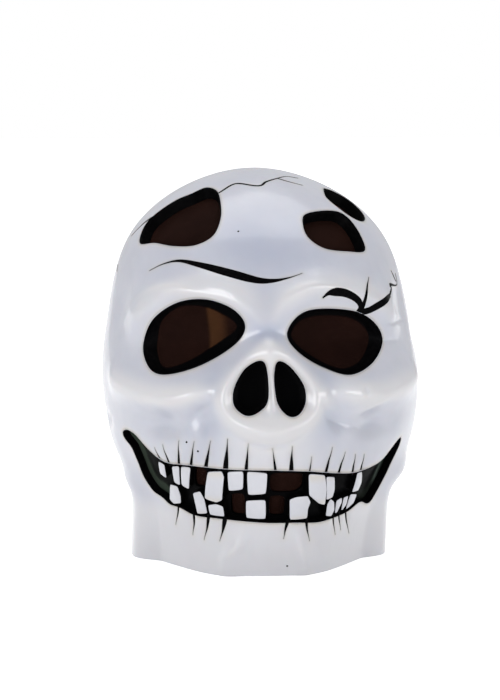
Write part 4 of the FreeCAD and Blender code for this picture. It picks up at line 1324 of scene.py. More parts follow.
def make_skin():
    """The whole latex casting as one closed wall with turned-in edges round its openings."""
    turns = np.radians(np.arange(*SKIN_TURNS, ROW_STEP))
    ups = np.linspace(0, 1, OUTER_ROWS)
    outer = Patch(turns, ups)
    outer.refine(outer_spacing, 5)
    outer.cut(lambda turn, place: np.minimum(outside_openings(turn, place), outside_slit(place)))
    outer_points = outer.weld(grounded(skin(outer.turn, outer.up), outer.turn, 0.0))
    inner = Patch(turns, ups)
    inner.refine(inner_spacing, 3)
    inner.cut(lambda turn, place: np.minimum(
        outside_openings(turn, place, FLANGE_WIDTH), outside_slit(place)))
    inner_points = inner.weld(grounded(skin(inner.turn, inner.up, SKIN_THICKNESS, fine=False),
                                       inner.turn, SKIN_THICKNESS))
    shell = Shell()
    warm, olive = spray(outer.turn, form(outer.turn, outer.up))
    # Painted highlight and painted shade, from the relief and from given patches.
    raised, hollow = airbrush(outer.turn, form(outer.turn, outer.up))
    skin_numbers = shell.add_points(outer_points, warm=warm, olive=olive, raised=raised, hollow=hollow)
    shell.add_triangles(skin_numbers[outer.triangles], 0)
    inner_numbers = shell.add_points(inner_points)
    shell.add_triangles(inner_numbers[inner.triangles[:, ::-1]], 2)
    last_rows = {}
    for loop in boundary_loops(outer.triangles):
        name = nearest_opening(outer_points[loop])
        last_rows[name] = skin_numbers[loop]
        if name is not None:
            outline, _, profile = OPENINGS[name]
            last_rows[name] = add_edge(shell, skin_numbers, outer, loop, outline, profile, (0, 1))
    for loop in boundary_loops(inner.triangles):
        if nearest_opening(inner_points[loop]) is None:
            shell.zip_rings(last_rows[None], inner_numbers[loop], 2)
            continue
        wall = shell.add_points(skin(inner.turn[loop], inner.up[loop], FLANGE_DEPTH, fine=False))
        shell.ring_strip(wall, inner_numbers[loop], 2)
        names = [name for name, (outline, _, _) in OPENINGS.items()
                 if inside_outline(inner.flat(loop), *outline.flat.mean(axis=0)[:, None])[0]]
        if len(names) == 1:
            shell.zip_rings(last_rows[names[0]], wall, 1)
        else:
            join_flange(shell, names, last_rows, wall)
    wall = shell.make("latex_wall", skull_latex, black_paint, inner_latex)
    edit_mesh(wall, lambda model: bmesh.ops.remove_doubles(model, verts=model.verts, dist=WELD))
    return wall


# ---- mouth and teeth

FLOOR_OUTER, FLOOR_INNER = 5.0, 6.9
TOOTH_BASE = 0.45
TOOTH_EDGE = [(0.1, 0.1), (0.35, 0.4), (0.5, 0.9), (0.5, 5.4)]
TOOTH_INSET = 0.35
CHANNEL_START, CHANNEL_FADE = 50.0, 4.0       # azimuth from which the mouth is the bare side channel
# Painted reflection: a green sheen along the side channels, so far inside the mouth's edge and so wide,
# stronger on the left.
SHEEN_INSIDE, SHEEN_SPREAD = 4.0, 3.0         # the sheen runs so far inside the mouth's edge
SHEEN_LEFT, SHEEN_RIGHT = 2.0, 0.3
# Painted highlight: a pale streak in the right channel.
GLINT_AZIMUTH, GLINT_SPREAD, GLINT_SHARE = 64.5, 1.2, 0.2
GLINT_LOW, GLINT_HIGH = (47, 8), (80, 10)     # heights at which the glint ends, and over how much
CROWN_RISE, CROWN_RUN = 0.55, 2.2             # a tooth's face swells by so much over such a distance


def make_mouth_floor():
    """The black back of the mouth, with holes in front of the mesh where teeth are missing."""
    mouth = OPENINGS["mouth"][0]
    windows = [Outline(points, smooth=False, share=0.15) for points in MOUTH_WINDOWS]

    def field(turn, place):
        value = 0.6 - mouth.distance(turn, place)
        for window in windows:
            value = np.minimum(value, window.distance(turn, place))
        return value

    patch = skin_area(outline_area(MOUTH, 3.0), field, 1.8,
                      lambda turn, place: 0.7 + 0.5 * np.abs(field(turn, place)))
    place = form(patch.turn, patch.up)
    azimuth = np.degrees(patch.turn)
    inside = np.maximum(0, -mouth.distance(patch.turn, place))
    channel = smooth_step((np.abs(azimuth) - CHANNEL_START) / CHANNEL_FADE)
    # Painted reflections in the side channels: a green sheen and a pale glint.
    sheen = channel * np.exp(-((inside - SHEEN_INSIDE) / SHEEN_SPREAD) ** 2)
    sheen = sheen * np.where(azimuth < 0, SHEEN_LEFT, SHEEN_RIGHT)
    glint = np.where(azimuth > 0, channel, 0) * np.exp(-((azimuth - GLINT_AZIMUTH) / GLINT_SPREAD) ** 2)
    glint = glint * smooth_step((place[:, 2] - GLINT_LOW[0]) / GLINT_LOW[1])
    glint = glint * smooth_step((GLINT_HIGH[0] - place[:, 2]) / GLINT_HIGH[1])
    shell = Shell()
    add_slab(shell, patch, FLOOR_OUTER, FLOOR_INNER, sheen=sheen, glint=glint * GLINT_SHARE)
    return shell.make("mouth_floor", channel_paint)


def add_tooth(shell, points):
    """One tooth: a pillowed face with a rounded edge that goes down to the mouth's floor."""
    outline = Outline(points, smooth=False, share=0.06)
    patch = skin_area(outline_area(points, 2.0),
                      lambda turn, place: -TOOTH_INSET - outline.distance(turn, place), 0.9)
    place = form(patch.turn, patch.up)
    inside = -outline.distance(patch.turn, place)
    crown = CROWN_RISE * (1 - np.exp(-np.maximum(0, inside - TOOTH_INSET) / CROWN_RUN))
    from_middle = np.abs(place[:, 2] - np.mean([height for _, height in points]))
    face = shell.add_points(skin(patch.turn, patch.up, TOOTH_BASE - crown, fine=False),
                            warm=0.5 * smooth_step((from_middle - 4) / 6))
    shell.add_triangles(face[patch.triangles])
    loops = boundary_loops(patch.triangles)
    if len(loops) != 1:
        raise RuntimeError(f"a tooth has {len(loops)} edges: {points}")
    last = add_edge(shell, face, patch, loops[0], outline, TOOTH_EDGE, (0, 0, 1),
                    spacing=0.7, base_depth=TOOTH_BASE)
    shell.cap(last, shell.middle(last), finish=1, flipped=True)


def make_teeth(name, teeth):
    shell = Shell()
    for points in teeth:
        add_tooth(shell, points)
    return shell.make(name, tooth_enamel, black_paint)


# ---- painted lines

# A stroke's section: share of its half width to the side, and lift off the skin.
PAINT_SECTION = [(-1, -0.03), (-0.85, 0.13), (0, 0.2), (0.85, 0.13), (1, -0.03), (0.5, -0.3), (-0.5, -0.3)]
PAINT_WIDENED, CRACK_WIDENED = 1.35, 1.6      # the strokes' edges sink into the skin
PAINT_SPACING = 0.8
HAIR = 0.05               # half width of a line's tip
SPECKS = [(-11.9, 215.9), (8.5, 7.7), (-32, 87.9), (-27.4, 83)]
SPECK_SIZE = 0.9
SPECK_POINTS = [(0, 0), (0.35, 0.3), (0.8, 0.4)]


def add_painted_line(shell, line, widened):
    """A stroke of paint, lifted a little off the skin, that follows it and is tapered at its ends."""
    flat = catmull(line.points, 12)
    places = form_at(flat[:, 0], flat[:, 1])
    along = np.concatenate([[0], np.cumsum(np.linalg.norm(np.diff(places, axis=0), axis=1))])
    wanted = np.linspace(0, along[-1], max(6, int(along[-1] / PAINT_SPACING)))
    turn = np.radians(np.interp(wanted, along, flat[:, 0]))
    up = up_at(np.interp(wanted, along, flat[:, 1]))
    half = np.maximum(line.half_width(wanted / along[-1]) * widened, HAIR)
    by_turn = (form(turn + FORM_STEP, up) - form(turn - FORM_STEP, up)) / (2 * FORM_STEP)
    by_up = (form(turn, up + FORM_STEP) - form(turn, up - FORM_STEP)) / (2 * FORM_STEP)
    direction = np.gradient(form(turn, up), axis=0)
    sideways = unit(np.cross(unit(np.cross(by_turn, by_up)), direction))
    tt, uu, tu = ((a * b).sum(axis=1) for a, b in ((by_turn, by_turn), (by_up, by_up), (by_turn, by_up)))
    st, su = ((sideways * a).sum(axis=1) for a in (by_turn, by_up))
    scale = tt * uu - tu ** 2
    turn_step = (st * uu - su * tu) / scale
    up_step = (su * tt - st * tu) / scale
    rows = []
    for offset, lift in PAINT_SECTION:
        points = skin(turn + turn_step * offset * half, up + up_step * offset * half, -lift)
        rows.append(shell.add_points(points))
    rows = np.stack(rows, 1)
    shell.tube(rows)
    for ring, order in ((rows[0], 1), (rows[-1], -1)):
        shell.add_triangles([(ring[0], ring[k], ring[k + 1])[::order] for k in range(1, len(ring) - 1)])


def make_lines(name, lines, widened):
    shell = Shell()
    for line in lines:
        add_painted_line(shell, line, widened)
    return shell.make(name, black_paint)


# ---- mesh windows

PANEL_OUTER, PANEL_INNER = 7.06, 7.5
PANEL_OVERLAP = 1.6
PANELS = {
    "left_eye_mesh": (LEFT_EYE, PANEL_OVERLAP, True),
    "right_eye_mesh": (RIGHT_EYE, PANEL_OVERLAP, True),
    "nose_mesh": (NOSE, -1.0, True),
    "mouth_mesh": (MOUTH_PANEL, 0.0, False),
    "left_crown_mesh": (LEFT_CROWN, PANEL_OVERLAP, True),
    "right_crown_mesh": (RIGHT_CROWN, PANEL_OVERLAP, True),
    "upper_right_crown_mesh": (UPPER_RIGHT_CROWN, PANEL_OVERLAP, True),
}
# Painted light: a lighter stripe across a window where light shows through from inside the mask.
BAND = {"left_eye_mesh": (-24.0, -17.0)}     # azimuths between which a window is lighter
NO_BAND = (400.0, 0.0)
BAND_START_FADE, BAND_END_FADE = 1.5, 6
# Black paint on a window's border: its width, and how much wider it is towards the nose and the top.
PAINTED_BORDER = {
    "left_eye_mesh": (4.2, 3.6, -2.4),
    "right_eye_mesh": (3.1, 0.9, -0.3),
    "nose_mesh": (40.0, 0.0, 0.0),
}
BORDER_FADE = 0.9
NASAL_RUN, UPPER_RUN = 12, 8      # degrees and millimetres over which the border changes its width
PANEL_REACH = 60.0


def make_panel(node, points, overlap, smooth):
    """A stretched sheet of mesh behind one opening; returns it with the size that it is cut to."""
    outline = Outline(points, smooth=smooth, share=0.02)
    border, nasal, upper = PAINTED_BORDER.get(node, (0.0, 0.0, 0.0))
    middle_azimuth, middle_height = outline.flat.mean(axis=0)

    def border_width(turn, place):
        side = np.clip((abs(middle_azimuth) - np.abs(np.degrees(turn))) / NASAL_RUN, -1, 1)
        return border + nasal * side + upper * np.clip((place[:, 2] - middle_height) / UPPER_RUN, -1, 1)

    def spacing(turn, place):
        away = outline.distance(turn, place, PANEL_REACH)
        to_border = np.abs(away + border_width(turn, place))
        return np.minimum(1.0 + 0.5 * np.abs(overlap - away), 0.7 + 0.5 * to_border)

    patch = skin_area(outline_area(points, 4.0),
                      lambda turn, place: overlap - outline.distance(turn, place), 1.8, spacing)
    places = skin(patch.turn, patch.up, PANEL_OUTER, fine=False)
    middle = places.mean(axis=0)
    normal = unit(form_normal(patch.turn, patch.up).mean(axis=0))
    across = unit(np.cross([0, 0, 1.0], normal))
    along = np.cross(normal, across)
    flat_across, flat_along = (places - middle) @ across, (places - middle) @ along
    azimuth = np.degrees(patch.turn)
    # Painted light band across the left eye's window.
    start, end = BAND.get(node, NO_BAND)
    band = smooth_step((azimuth - start) / BAND_START_FADE + 0.5)
    band = band * smooth_step((end - azimuth) / BAND_END_FADE + 0.5)
    place = form(patch.turn, patch.up)
    inside = -outline.distance(patch.turn, place, PANEL_REACH)
    black = smooth_step((border_width(patch.turn, place) - inside) / BORDER_FADE + 0.5)
    shell = Shell()
    add_slab(shell, patch, PANEL_OUTER, PANEL_INNER, along=flat_along, across=flat_across, band=band,
             black=black)
    panel = shell.make(node + "_sheet", window_mesh)
    a, b, c = (places[patch.triangles[:, k]] for k in range(3))
    area = np.linalg.norm(np.cross(b - a, c - a), axis=1).sum() / 2
    size = (np.ptp(flat_across), np.ptp(flat_along))
    return panel, size, min(area, size[0] * size[1])


# ---- fitting pads

PAD_PLACES = {          # azimuth, height, width, length, corner radius
    "forehead_pad": (0, 197, 44, 24, 8),
    "crown_pad": (180, 246, 56, 44, 10),
    "left_temple_pad": (-100, 150, 44, 54, 10),
    "right_temple_pad": (100, 150, 44, 54, 10),
}
PAD_BACK = 2.56
PAD_EDGE_THICKNESS, PAD_THICKNESS = 2.4, 6.2
PAD_SHRINK = 0.4
PAD_CROWN_WIDTH = 7.0     # the pad rises to its full thickness over this distance
SEAM_INSET, SEAM_WIDTH, SEAM_DEPTH = 3.4, 0.9, 0.8
WRINKLE_SCALE, WRINKLE_HEIGHT, WRINKLE_FADE = 0.16, 0.35, 4
PAD_SPACING, PAD_BULGE = 0.9, 0.2
RAY_START = 45                    # how far inside the skin a pad's rays set out


def inner_wall():
    """The wall that the pads are glued to, for casting rays at."""
    patch = Patch(np.radians(np.arange(*SKIN_TURNS, 3)), np.linspace(0, 1, 90))
    points = patch.weld(skin(patch.turn, patch.up, PAD_BACK, fine=False))
    return BVHTree.FromPolygons(points.tolist(), patch.triangles.tolist())


def round_rectangle(wide, tall, corner, spacing):
    """A grid over a rectangle with round corners: its places, its triangles, the distance of each
    place from the edge and the row of places on the edge."""
    columns, rows = int(wide / spacing), int(tall / spacing)
    x, y = np.meshgrid(np.linspace(-wide / 2, wide / 2, columns + 1),
                       np.linspace(-tall / 2, tall / 2, rows + 1), indexing="ij")
    x, y = x.ravel(), y.ravel()
    aside = np.stack([np.maximum(0, np.abs(x) - (wide / 2 - corner)),
                      np.maximum(0, np.abs(y) - (tall / 2 - corner))], 1)
    reach = np.linalg.norm(aside, axis=1)
    rounder = np.where(reach > 0, aside.max(axis=1) / np.maximum(reach, TINY), 1.0)
    x = np.where(reach > 0, np.sign(x) * (np.abs(x) - aside[:, 0] * (1 - rounder)), x)
    y = np.where(reach > 0, np.sign(y) * (np.abs(y) - aside[:, 1] * (1 - rounder)), y)
    grid = Patch(np.arange(columns + 1), np.arange(rows + 1))
    flat = np.stack([x, y], 1)
    loop = boundary_loops(grid.triangles)[0]
    edge, _ = to_polyline(flat, flat[loop], closed=True)
    return flat, grid.triangles, edge, loop


def make_pad(wall, azimuth, height, wide, tall, corner):
    """A sewn foam pad: thick in the middle, thin at its edge, with a channel sewn round it."""
    flat, triangles, edge, loop = round_rectangle(wide - PAD_SHRINK, tall - PAD_SHRINK, corner, PAD_SPACING)
    turn, up = np.radians([azimuth]), up_at([height])
    centre, normal = skin(turn, up, fine=False)[0], form_normal(turn, up)[0]
    sideways = unit(np.cross([0, 0, 1.0], normal))
    upwards = np.cross(normal, sideways)
    start = centre - normal * RAY_START
    back, inwards = np.zeros((len(flat), 3)), np.zeros((len(flat), 3))
    for index, (x, y) in enumerate(flat):
        hit, facing, _, _ = wall.ray_cast(start + sideways * x + upwards * y, normal)
        back[index] = hit
        inwards[index] = -np.array(facing)
    inwards = np.where(((inwards @ normal) > 0)[:, None], -inwards, inwards)
    rise = 1 - (1 - np.clip(edge / PAD_CROWN_WIDTH, 0, 1)) ** 2
    thick = PAD_EDGE_THICKNESS + (PAD_THICKNESS - PAD_EDGE_THICKNESS) * rise
    thick -= SEAM_DEPTH * np.exp(-((edge - SEAM_INSET) / SEAM_WIDTH) ** 2)
    wrinkle = np.array([mathutils_noise.noise(Vector(point * WRINKLE_SCALE)) for point in back])
    thick += WRINKLE_HEIGHT * wrinkle * np.clip(edge / WRINKLE_FADE, 0, 1)
    thick = np.minimum(thick, PAD_THICKNESS)
    shell = Shell()
    bottom = shell.add_points(back)
    top = shell.add_points(back + inwards * thick[:, None])
    shell.add_triangles(bottom[triangles])
    shell.add_triangles(top[triangles[:, ::-1]])
    outer = back[loop]
    bulge = shell.add_points(outer + inwards[loop] * PAD_EDGE_THICKNESS * 0.5
                             + unit(outer - outer.mean(axis=0)) * PAD_BULGE)
    shell.tube([bottom[loop], bulge, top[loop]])
    return shell


# ---- closure behind the neck

STRAP_HEIGHTS = {"lower": 25.0, "upper": 72.0}
STRAP_WIDTH = 22.0
STRAP_THICKNESS = 1.9
STRAP_MIDDLE = 3.08       # outwards from the skin to the middle of the strap's thickness
FOLD_MIDDLE = 1.03        # the same for its folded end, under it
FOLD_LEFT, FOLD_RIGHT = -27.95, -11.6
STRAP_END = 35.8
BEND_START, BEND_END = -11.2, -6.5
LOOP_OUTER, HOOK_INNER, HOOK_OUTER = 1.05, 1.25, 2.0
GLUE = 0.06
PAD_LEFT, PAD_INSET = 9.0, 1.5
RIVET_AZIMUTH = -166.0
RIVET_SPACING = 11.0
HOOK_PITCH = 1.5
HOOK_FOOT, HOOK_MARGIN = 0.22, 1.0
RIB_PITCH, WEAVE_PITCH, RIB_HEIGHT = 2.2, 1.1, 0.06
PLATE_CORNER, PLATE_SPACING = 1.5, 1.0
PLATE_EDGE, PLATE_SOFTNESS = 0.35, 0.12       # a plate is thinner by this much at its edge
STITCH_LENGTH, STITCH_THICKNESS, STITCH_PITCH = 2.0, 0.28, 2.7
STITCH_INSET = 2.2
ANCHOR_SEAM, SEAM_MARGIN = -14.0, 0.8
BACK_RADIUS = 88          # of the head behind, for a first guess
BACK_STEP = 1e-4


def behind(across, height, outwards):
    """Points at an x and a height, in millimetres, that lie so far outside the back of the skin."""
    across, height, outwards = np.broadcast_arrays(np.asarray(across, float), height, outwards)
    shape = across.shape
    across, height, outwards = (a.ravel().astype(float) for a in (across, height, outwards))
    turn = math.pi - np.arcsin(np.clip(across / BACK_RADIUS, -0.9, 0.9))
    up = up_at(height)

    def at(turn, up):
        return back_at_depths(turn, up, -outwards)

    for _ in range(5):
        place = at(turn, up)
        by_turn = (at(turn + BACK_STEP, up) - place) / BACK_STEP
        by_up = (at(turn, up + BACK_STEP) - place) / BACK_STEP
        miss = np.stack([across - place[:, 0], height - place[:, 2]], 1)
        scale = by_turn[:, 0] * by_up[:, 2] - by_up[:, 0] * by_turn[:, 2]
        turn = turn + (miss[:, 0] * by_up[:, 2] - miss[:, 1] * by_up[:, 0]) / scale
        up = up + (miss[:, 1] * by_turn[:, 0] - miss[:, 0] * by_turn[:, 2]) / scale
    return at(turn, up).reshape(*shape, 3)


def back_at_depths(turn, up, depth):
    """The plain back of the head, where there is no relief, at a depth for each point."""
    return (form(turn, up) - form_normal(turn, up) * (BACK_SHRINK + depth)[:, None]) * SCALE


def add_swept_strap(shell, path, height, width, thick):
    """Webbing swept along a path of (x, outwards): closed, with soft edges and fused ends."""
    path = np.asarray(path, float)
    before = np.concatenate([[0], np.cumsum(np.linalg.norm(np.diff(path, axis=0), axis=1))])
    tangent = np.gradient(path, axis=0)
    tangent /= np.linalg.norm(tangent, axis=1, keepdims=True)
    normal = np.stack([-tangent[:, 1], tangent[:, 0]], 1)
    half = width / 2
    section = [(z, 0.5) for z in np.linspace(-half + 0.5, half - 0.5, 20)]
    section += [(half - 0.12, 0.3), (half, 0.0), (half - 0.12, -0.3)]
    section += [(z, -0.5) for z in np.linspace(half - 0.5, -half + 0.5, 20)]
    section += [(-half + 0.12, -0.3), (-half, 0.0), (-half + 0.12, 0.3)]
    section = np.array(section)
    rib = RIB_HEIGHT * np.cos(section[:, 0] * 2 * math.pi / RIB_PITCH) * (np.abs(section[:, 1]) > 0.4)
    rings = []
    for (x, outwards), (nx, nout), length in zip(path, normal, before):
        end = min(length, before[-1] - length)
        squeeze = math.sqrt(max(0.02, 1 - (1 - min(end / 0.8, 1)) ** 2))
        lift = (section[:, 1] * thick + np.sign(section[:, 1]) * rib) * squeeze
        z = height + section[:, 0] * (1 - 0.02 * (1 - squeeze))
        points = behind(x + nx * lift, z, outwards + nout * lift)
        rings.append(shell.add_points(points, along=np.full(len(points), length), across=section[:, 0]))
    shell.tube(rings)
    for ring in (rings[0], rings[-1]):
        shell.cap(ring, shell.middle(ring))


def strap_path():
    """The strap's middle line: folded under at its riveted end and free at the other."""
    fold = [(x, FOLD_MIDDLE) for x in np.linspace(FOLD_RIGHT, FOLD_LEFT, 15)]
    radius = (STRAP_MIDDLE - FOLD_MIDDLE) / 2
    bend = [(FOLD_LEFT - radius * math.sin(angle), FOLD_MIDDLE + radius - radius * math.cos(angle))
            for angle in np.linspace(0, math.pi, 9)[1:-1]]
    run = [(x, STRAP_MIDDLE) for x in np.linspace(FOLD_LEFT, STRAP_END, 62)]
    return fold + bend + run


def add_back_plate(shell, left, right, low, high, inner, outer):
    """A thin plate with round corners behind the head, between two distances from the skin."""
    flat, triangles, edge, loop = round_rectangle(right - left, high - low, PLATE_CORNER, PLATE_SPACING)
    across, height = flat[:, 0] + (left + right) / 2, flat[:, 1] + (low + high) / 2
    outer = outer - PLATE_SOFTNESS * (1 - np.clip(edge / PLATE_EDGE, 0, 1))
    top = shell.add_points(behind(across, height, outer), along=across, across=flat[:, 1])
    bottom = shell.add_points(behind(across, height, inner), along=across, across=flat[:, 1])
    shell.add_triangles(top[triangles])
    shell.add_triangles(bottom[triangles[:, ::-1]])
    shell.ring_strip(top[loop], bottom[loop])


def add_hooks(shell, left, right, low, high, inner):
    """Rows of small bent hooks that point at the skin."""
    for x in np.arange(left + HOOK_MARGIN, right - 0.9, HOOK_PITCH):
        for z in np.arange(low + HOOK_MARGIN, high - 0.9, HOOK_PITCH):
            base = [(x + HOOK_FOOT * i, z + HOOK_FOOT * j) for i, j in ((-1, -1), (1, -1), (1, 1), (-1, 1))]
            root = shell.add_points(behind([b[0] for b in base], [b[1] for b in base], inner + 0.08))
            shell.add_triangles([(root[0], root[1], root[2]), (root[0], root[2], root[3])])
            neck = shell.add_points(behind([(b[0] - x) * 0.6 + x for b in base],
                                           [(b[1] - z) * 0.6 + z + 0.1 for b in base], inner - 0.12))
            tip = shell.add_points(behind([x], [z + 0.42], inner - 0.1))[0]
            shell.ring_strip(root, neck)
            shell.add_triangles([(neck[k], neck[(k + 1) % 4], tip) for k in range(4)])


def add_stitch(shell, x, z, along_x, outwards):
    """One stitch: a short thread that dives in at both ends."""
    rings = []
    for share, lift in ((-0.5, -0.2), (-0.32, 0.1), (0.0, 0.2), (0.32, 0.1), (0.5, -0.2)):
        run = share * STITCH_LENGTH
        cx, cz = (x + run, z) if along_x else (x, z + run)
        ring = []
        for angle in np.arange(6) * math.pi / 3:
            side = math.cos(angle) * STITCH_THICKNESS
            rise = math.sin(angle) * STITCH_THICKNESS * 0.6
            ring.append((cx if along_x else cx + side, cz + side if along_x else cz, outwards + lift + rise))
        ring = np.array(ring)
        rings.append(shell.add_points(behind(ring[:, 0], ring[:, 1], ring[:, 2])))
    shell.tube(rings)
    shell.add_triangles([(rings[0][0], rings[0][k], rings[0][k + 1]) for k in range(1, 5)])
    shell.add_triangles([(rings[-1][0], rings[-1][k + 1], rings[-1][k]) for k in range(1, 5)])


def make_stitches(name, height, across_at, along=None):
    """Stitch rows on a strap: across it at given places, and along its edges from one place to another."""
    shell = Shell()
    top = STRAP_MIDDLE + STRAP_THICKNESS / 2
    half = STRAP_WIDTH / 2 - STITCH_INSET
    for x in across_at:
        for z in np.arange(-half, half + 0.1, STITCH_PITCH):
            add_stitch(shell, x, height + z, False, top)
    if along:
        for z in (-half, half):
            for x in np.arange(along[0], along[1] + 0.1, STITCH_PITCH):
                add_stitch(shell, x, height + z, True, top)
    return shell.make(name, thread)


RIVET_PROFILE = [       # radius and distance outwards from the skin, from the outer dome to the inner tail
    (0.0, 5.32), (0.8, 5.3), (1.6, 5.2), (2.4, 5.0), (3.0, 4.74), (3.35, 4.48), (3.5, 4.24), (3.5, 4.12),
    (3.3, 4.04), (1.45, 4.04), (1.45, -4.15), (3.3, -4.15), (3.5, -4.3), (3.5, -4.9), (3.2, -5.12),
    (2.2, -5.18), (1.9, -5.0), (0.9, -4.7), (0.0, -4.66),
]
RIVET_SIDES = 32


def make_rivets(name, height):
    """The strap's two domed rivets with their rolled tails inside the mask."""
    shell = Shell()
    for side in (-0.5, 0.5):
        turn, up = np.radians([RIVET_AZIMUTH]), up_at([height + side * RIVET_SPACING])
        foot = skin(turn, up, fine=False)[0]
        normal = form_normal(turn, up)[0]
        sideways = unit(np.cross([0, 0, 1.0], normal))
        upwards = np.cross(normal, sideways)
        angles = np.arange(RIVET_SIDES) * 2 * math.pi / RIVET_SIDES
        circle = np.cos(angles)[:, None] * sideways + np.sin(angles)[:, None] * upwards
        rings = [shell.add_points(foot + normal * outwards + circle * radius)
                 for radius, outwards in RIVET_PROFILE[1:-1]]
        shell.tube(rings)
        for ring, (_, outwards) in ((rings[0], RIVET_PROFILE[0]), (rings[-1], RIVET_PROFILE[-1])):
            shell.cap(ring, foot + normal * outwards)
    return shell.make(name, rivet_steel)


# ---- stage

LAMP_AIM = (0, 0, 0.13)
AIM_AHEAD, AIM_HEIGHT = 0.00354, 0.125        # where the camera looks: before the middle, and above the rim
FLOOR_SIZE = 12


def floor_finish(stage):
    """A pale floor: white to the camera and to reflections, darker where the mask shades it."""
    finish = Finish("floor", Roughness=0.9)
    camera, glossy, through = finish.rays("Camera", "Glossy", "Transmission")
    seen = camera + glossy + through
    finish.shader.inputs["Base Color"].default_value = (*stage.floor_colour, 1)
    strength = seen.between(0, 0.5) * stage.floor_glow
    glow = finish.node("ShaderNodeEmission", {"Color": (1, 1, 1), "Strength": strength})
    both = finish.node("ShaderNodeAddShader", {0: Wire(finish, finish.shader.outputs[0]), 1: glow})
    finish.feed(finish.tree.nodes["Material Output"].inputs["Surface"], both)
    return finish.material


def set_world(stage):
    """A plain white background, and softer light from all round: bright behind and dim in front."""
    world = bpy.data.worlds.new("surroundings")
    bpy.context.scene.world = world
    nodes = Nodes(world)
    direction = nodes.node("ShaderNodeTexCoord", output="Generated")
    behind_mask = nodes.node("ShaderNodeSeparateXYZ", {0: direction}, output="Y")
    dimmed = nodes.node("ShaderNodeMapRange", {"From Min": -0.95, "From Max": 0.1, "To Min": stage.ambient,
                                               "To Max": stage.surround, "Value": behind_mask},
                        interpolation_type="SMOOTHSTEP")
    camera, through = nodes.rays("Camera", "Transmission")
    level = nodes.node("ShaderNodeMapRange", {"To Max": 1.0, "To Min": dimmed, "Value": camera + through})
    background = nodes.tree.nodes["Background"]
    nodes.feed(background.inputs["Color"], (1, 1, 1))
    nodes.feed(background.inputs["Strength"], level)


def soft_box(name, place, width, height, watts):
    """A rectangular studio lamp at a place, turned towards the mask; distances in metres."""
    bpy.ops.object.light_add(type="AREA", location=place)
    lamp = bpy.context.object
    lamp.name = name
    lamp.data.shape = "RECTANGLE"
    lamp.data.size, lamp.data.size_y = width, height
    lamp.data.energy = watts
    lamp.rotation_euler = (Vector(LAMP_AIM) - Vector(place)).to_track_quat("-Z", "Y").to_euler()


def place_camera(stage):
    """The camera in front of the mask, aimed beside and above its middle as the stage says."""
    turn, rise = stage.camera_azimuth, stage.camera_elevation
    back = Vector((math.sin(turn) * math.cos(rise), -math.cos(turn) * math.cos(rise), math.sin(rise)))
    right = Vector((math.cos(turn), math.sin(turn), 0))
    above = back.cross(right)
    middle = (Vector(CAD_LOW) + Vector(CAD_HIGH)) / 2
    aim = Vector((0, middle.y - AIM_AHEAD, CAD_LOW[2] + AIM_HEIGHT))
    aim = aim - right * stage.aim_left + above * stage.aim_up
    bpy.ops.object.camera_add(location=aim + back * stage.camera_distance)
    camera = bpy.context.object
    camera.rotation_euler = back.to_track_quat("Z", "Y").to_euler()
    camera.data.lens = stage.lens
    camera.data.clip_start = 0.05
    bpy.context.scene.camera = camera


# ---- what a user may change


def colour(name, description, red, green, blue):
    return bpy.props.FloatVectorProperty(name=name, description=description, subtype="COLOR", size=3,
                                         min=0, max=1, default=srgb(red, green, blue))


def amount(name, description, default, **limits):
    """A number that a user may change."""
    return bpy.props.FloatProperty(name=name, description=description, default=default, **limits)


class MaskColours(bpy.types.PropertyGroup):
    """Colours of the mask's finishes."""

    latex: colour("Latex", "Painted skull latex", 205, 207, 217)
    latex_shade: colour("Latex, shaded", "Slightly greyer patches of the skull latex", 196, 198, 210)
    # Painted highlight and painted shade of the skull latex.
    latex_raised: colour("Latex, raised", "Lighter brows, cheekbones and nose rim", 229, 227, 227)
    latex_hollow: colour("Latex, hollow", "Blue-grey shade of the recesses", 168, 175, 196)
    beige: colour("Beige", "Airbrushed fringe round openings and lines", 214, 202, 176)
    olive: colour("Olive", "Thin spray at the edge of the black paint", 92, 84, 58)
    paint: colour("Black paint", "Glossy black of lips and cracks", 5, 5, 6)
    paint_worn: colour("Black paint, worn", "Thinner strokes of the black paint", 13, 12, 13)
    # Painted reflections in the mouth's side channels.
    channel: colour("Side channel", "Green-grey sheen beside the tooth rows", 54, 62, 54)
    glint: colour("Channel highlight", "Pale streak in the right channel", 150, 168, 158)
    tooth: colour("Tooth", "White of the teeth", 214, 215, 222)
    inner: colour("Inner latex", "Unpainted latex inside", 190, 164, 120)
    inner_shade: colour("Inner latex, dark", "Thicker latex inside", 168, 140, 98)
    mesh: colour("Mesh", "Brown see-through fabric", 38, 22, 18)
    mesh_shade: colour("Mesh, dark", "Darker threads of the mesh", 30, 17, 14)
    # Painted light showing through a window.
    mesh_light: colour("Mesh, light", "Lighter stripe across a window", 70, 45, 28)
    webbing: colour("Webbing", "Black webbing, hooks and loops", 20, 20, 22)
    webbing_light: colour("Webbing, light", "Raised threads of the webbing", 46, 46, 50)
    thread: colour("Thread", "Sewing thread", 70, 70, 74)
    pad: colour("Pad", "Cloth of the fitting pads", 44, 44, 48)
    pad_light: colour("Pad, light", "Raised knit of the pads", 66, 66, 72)
    pad_lint: colour("Pad lint", "Dusty patches on the pads", 96, 94, 92)
    steel: colour("Steel", "Rivets", 176, 176, 178)
    steel_dull: colour("Steel, dull", "Tarnished patches of the rivets", 128, 126, 122)
    mesh_pitch: amount("Mesh pitch", "From thread to thread of the mesh", 1.6 * MM, min=0.5 * MM, max=5 * MM,
                       unit="LENGTH")


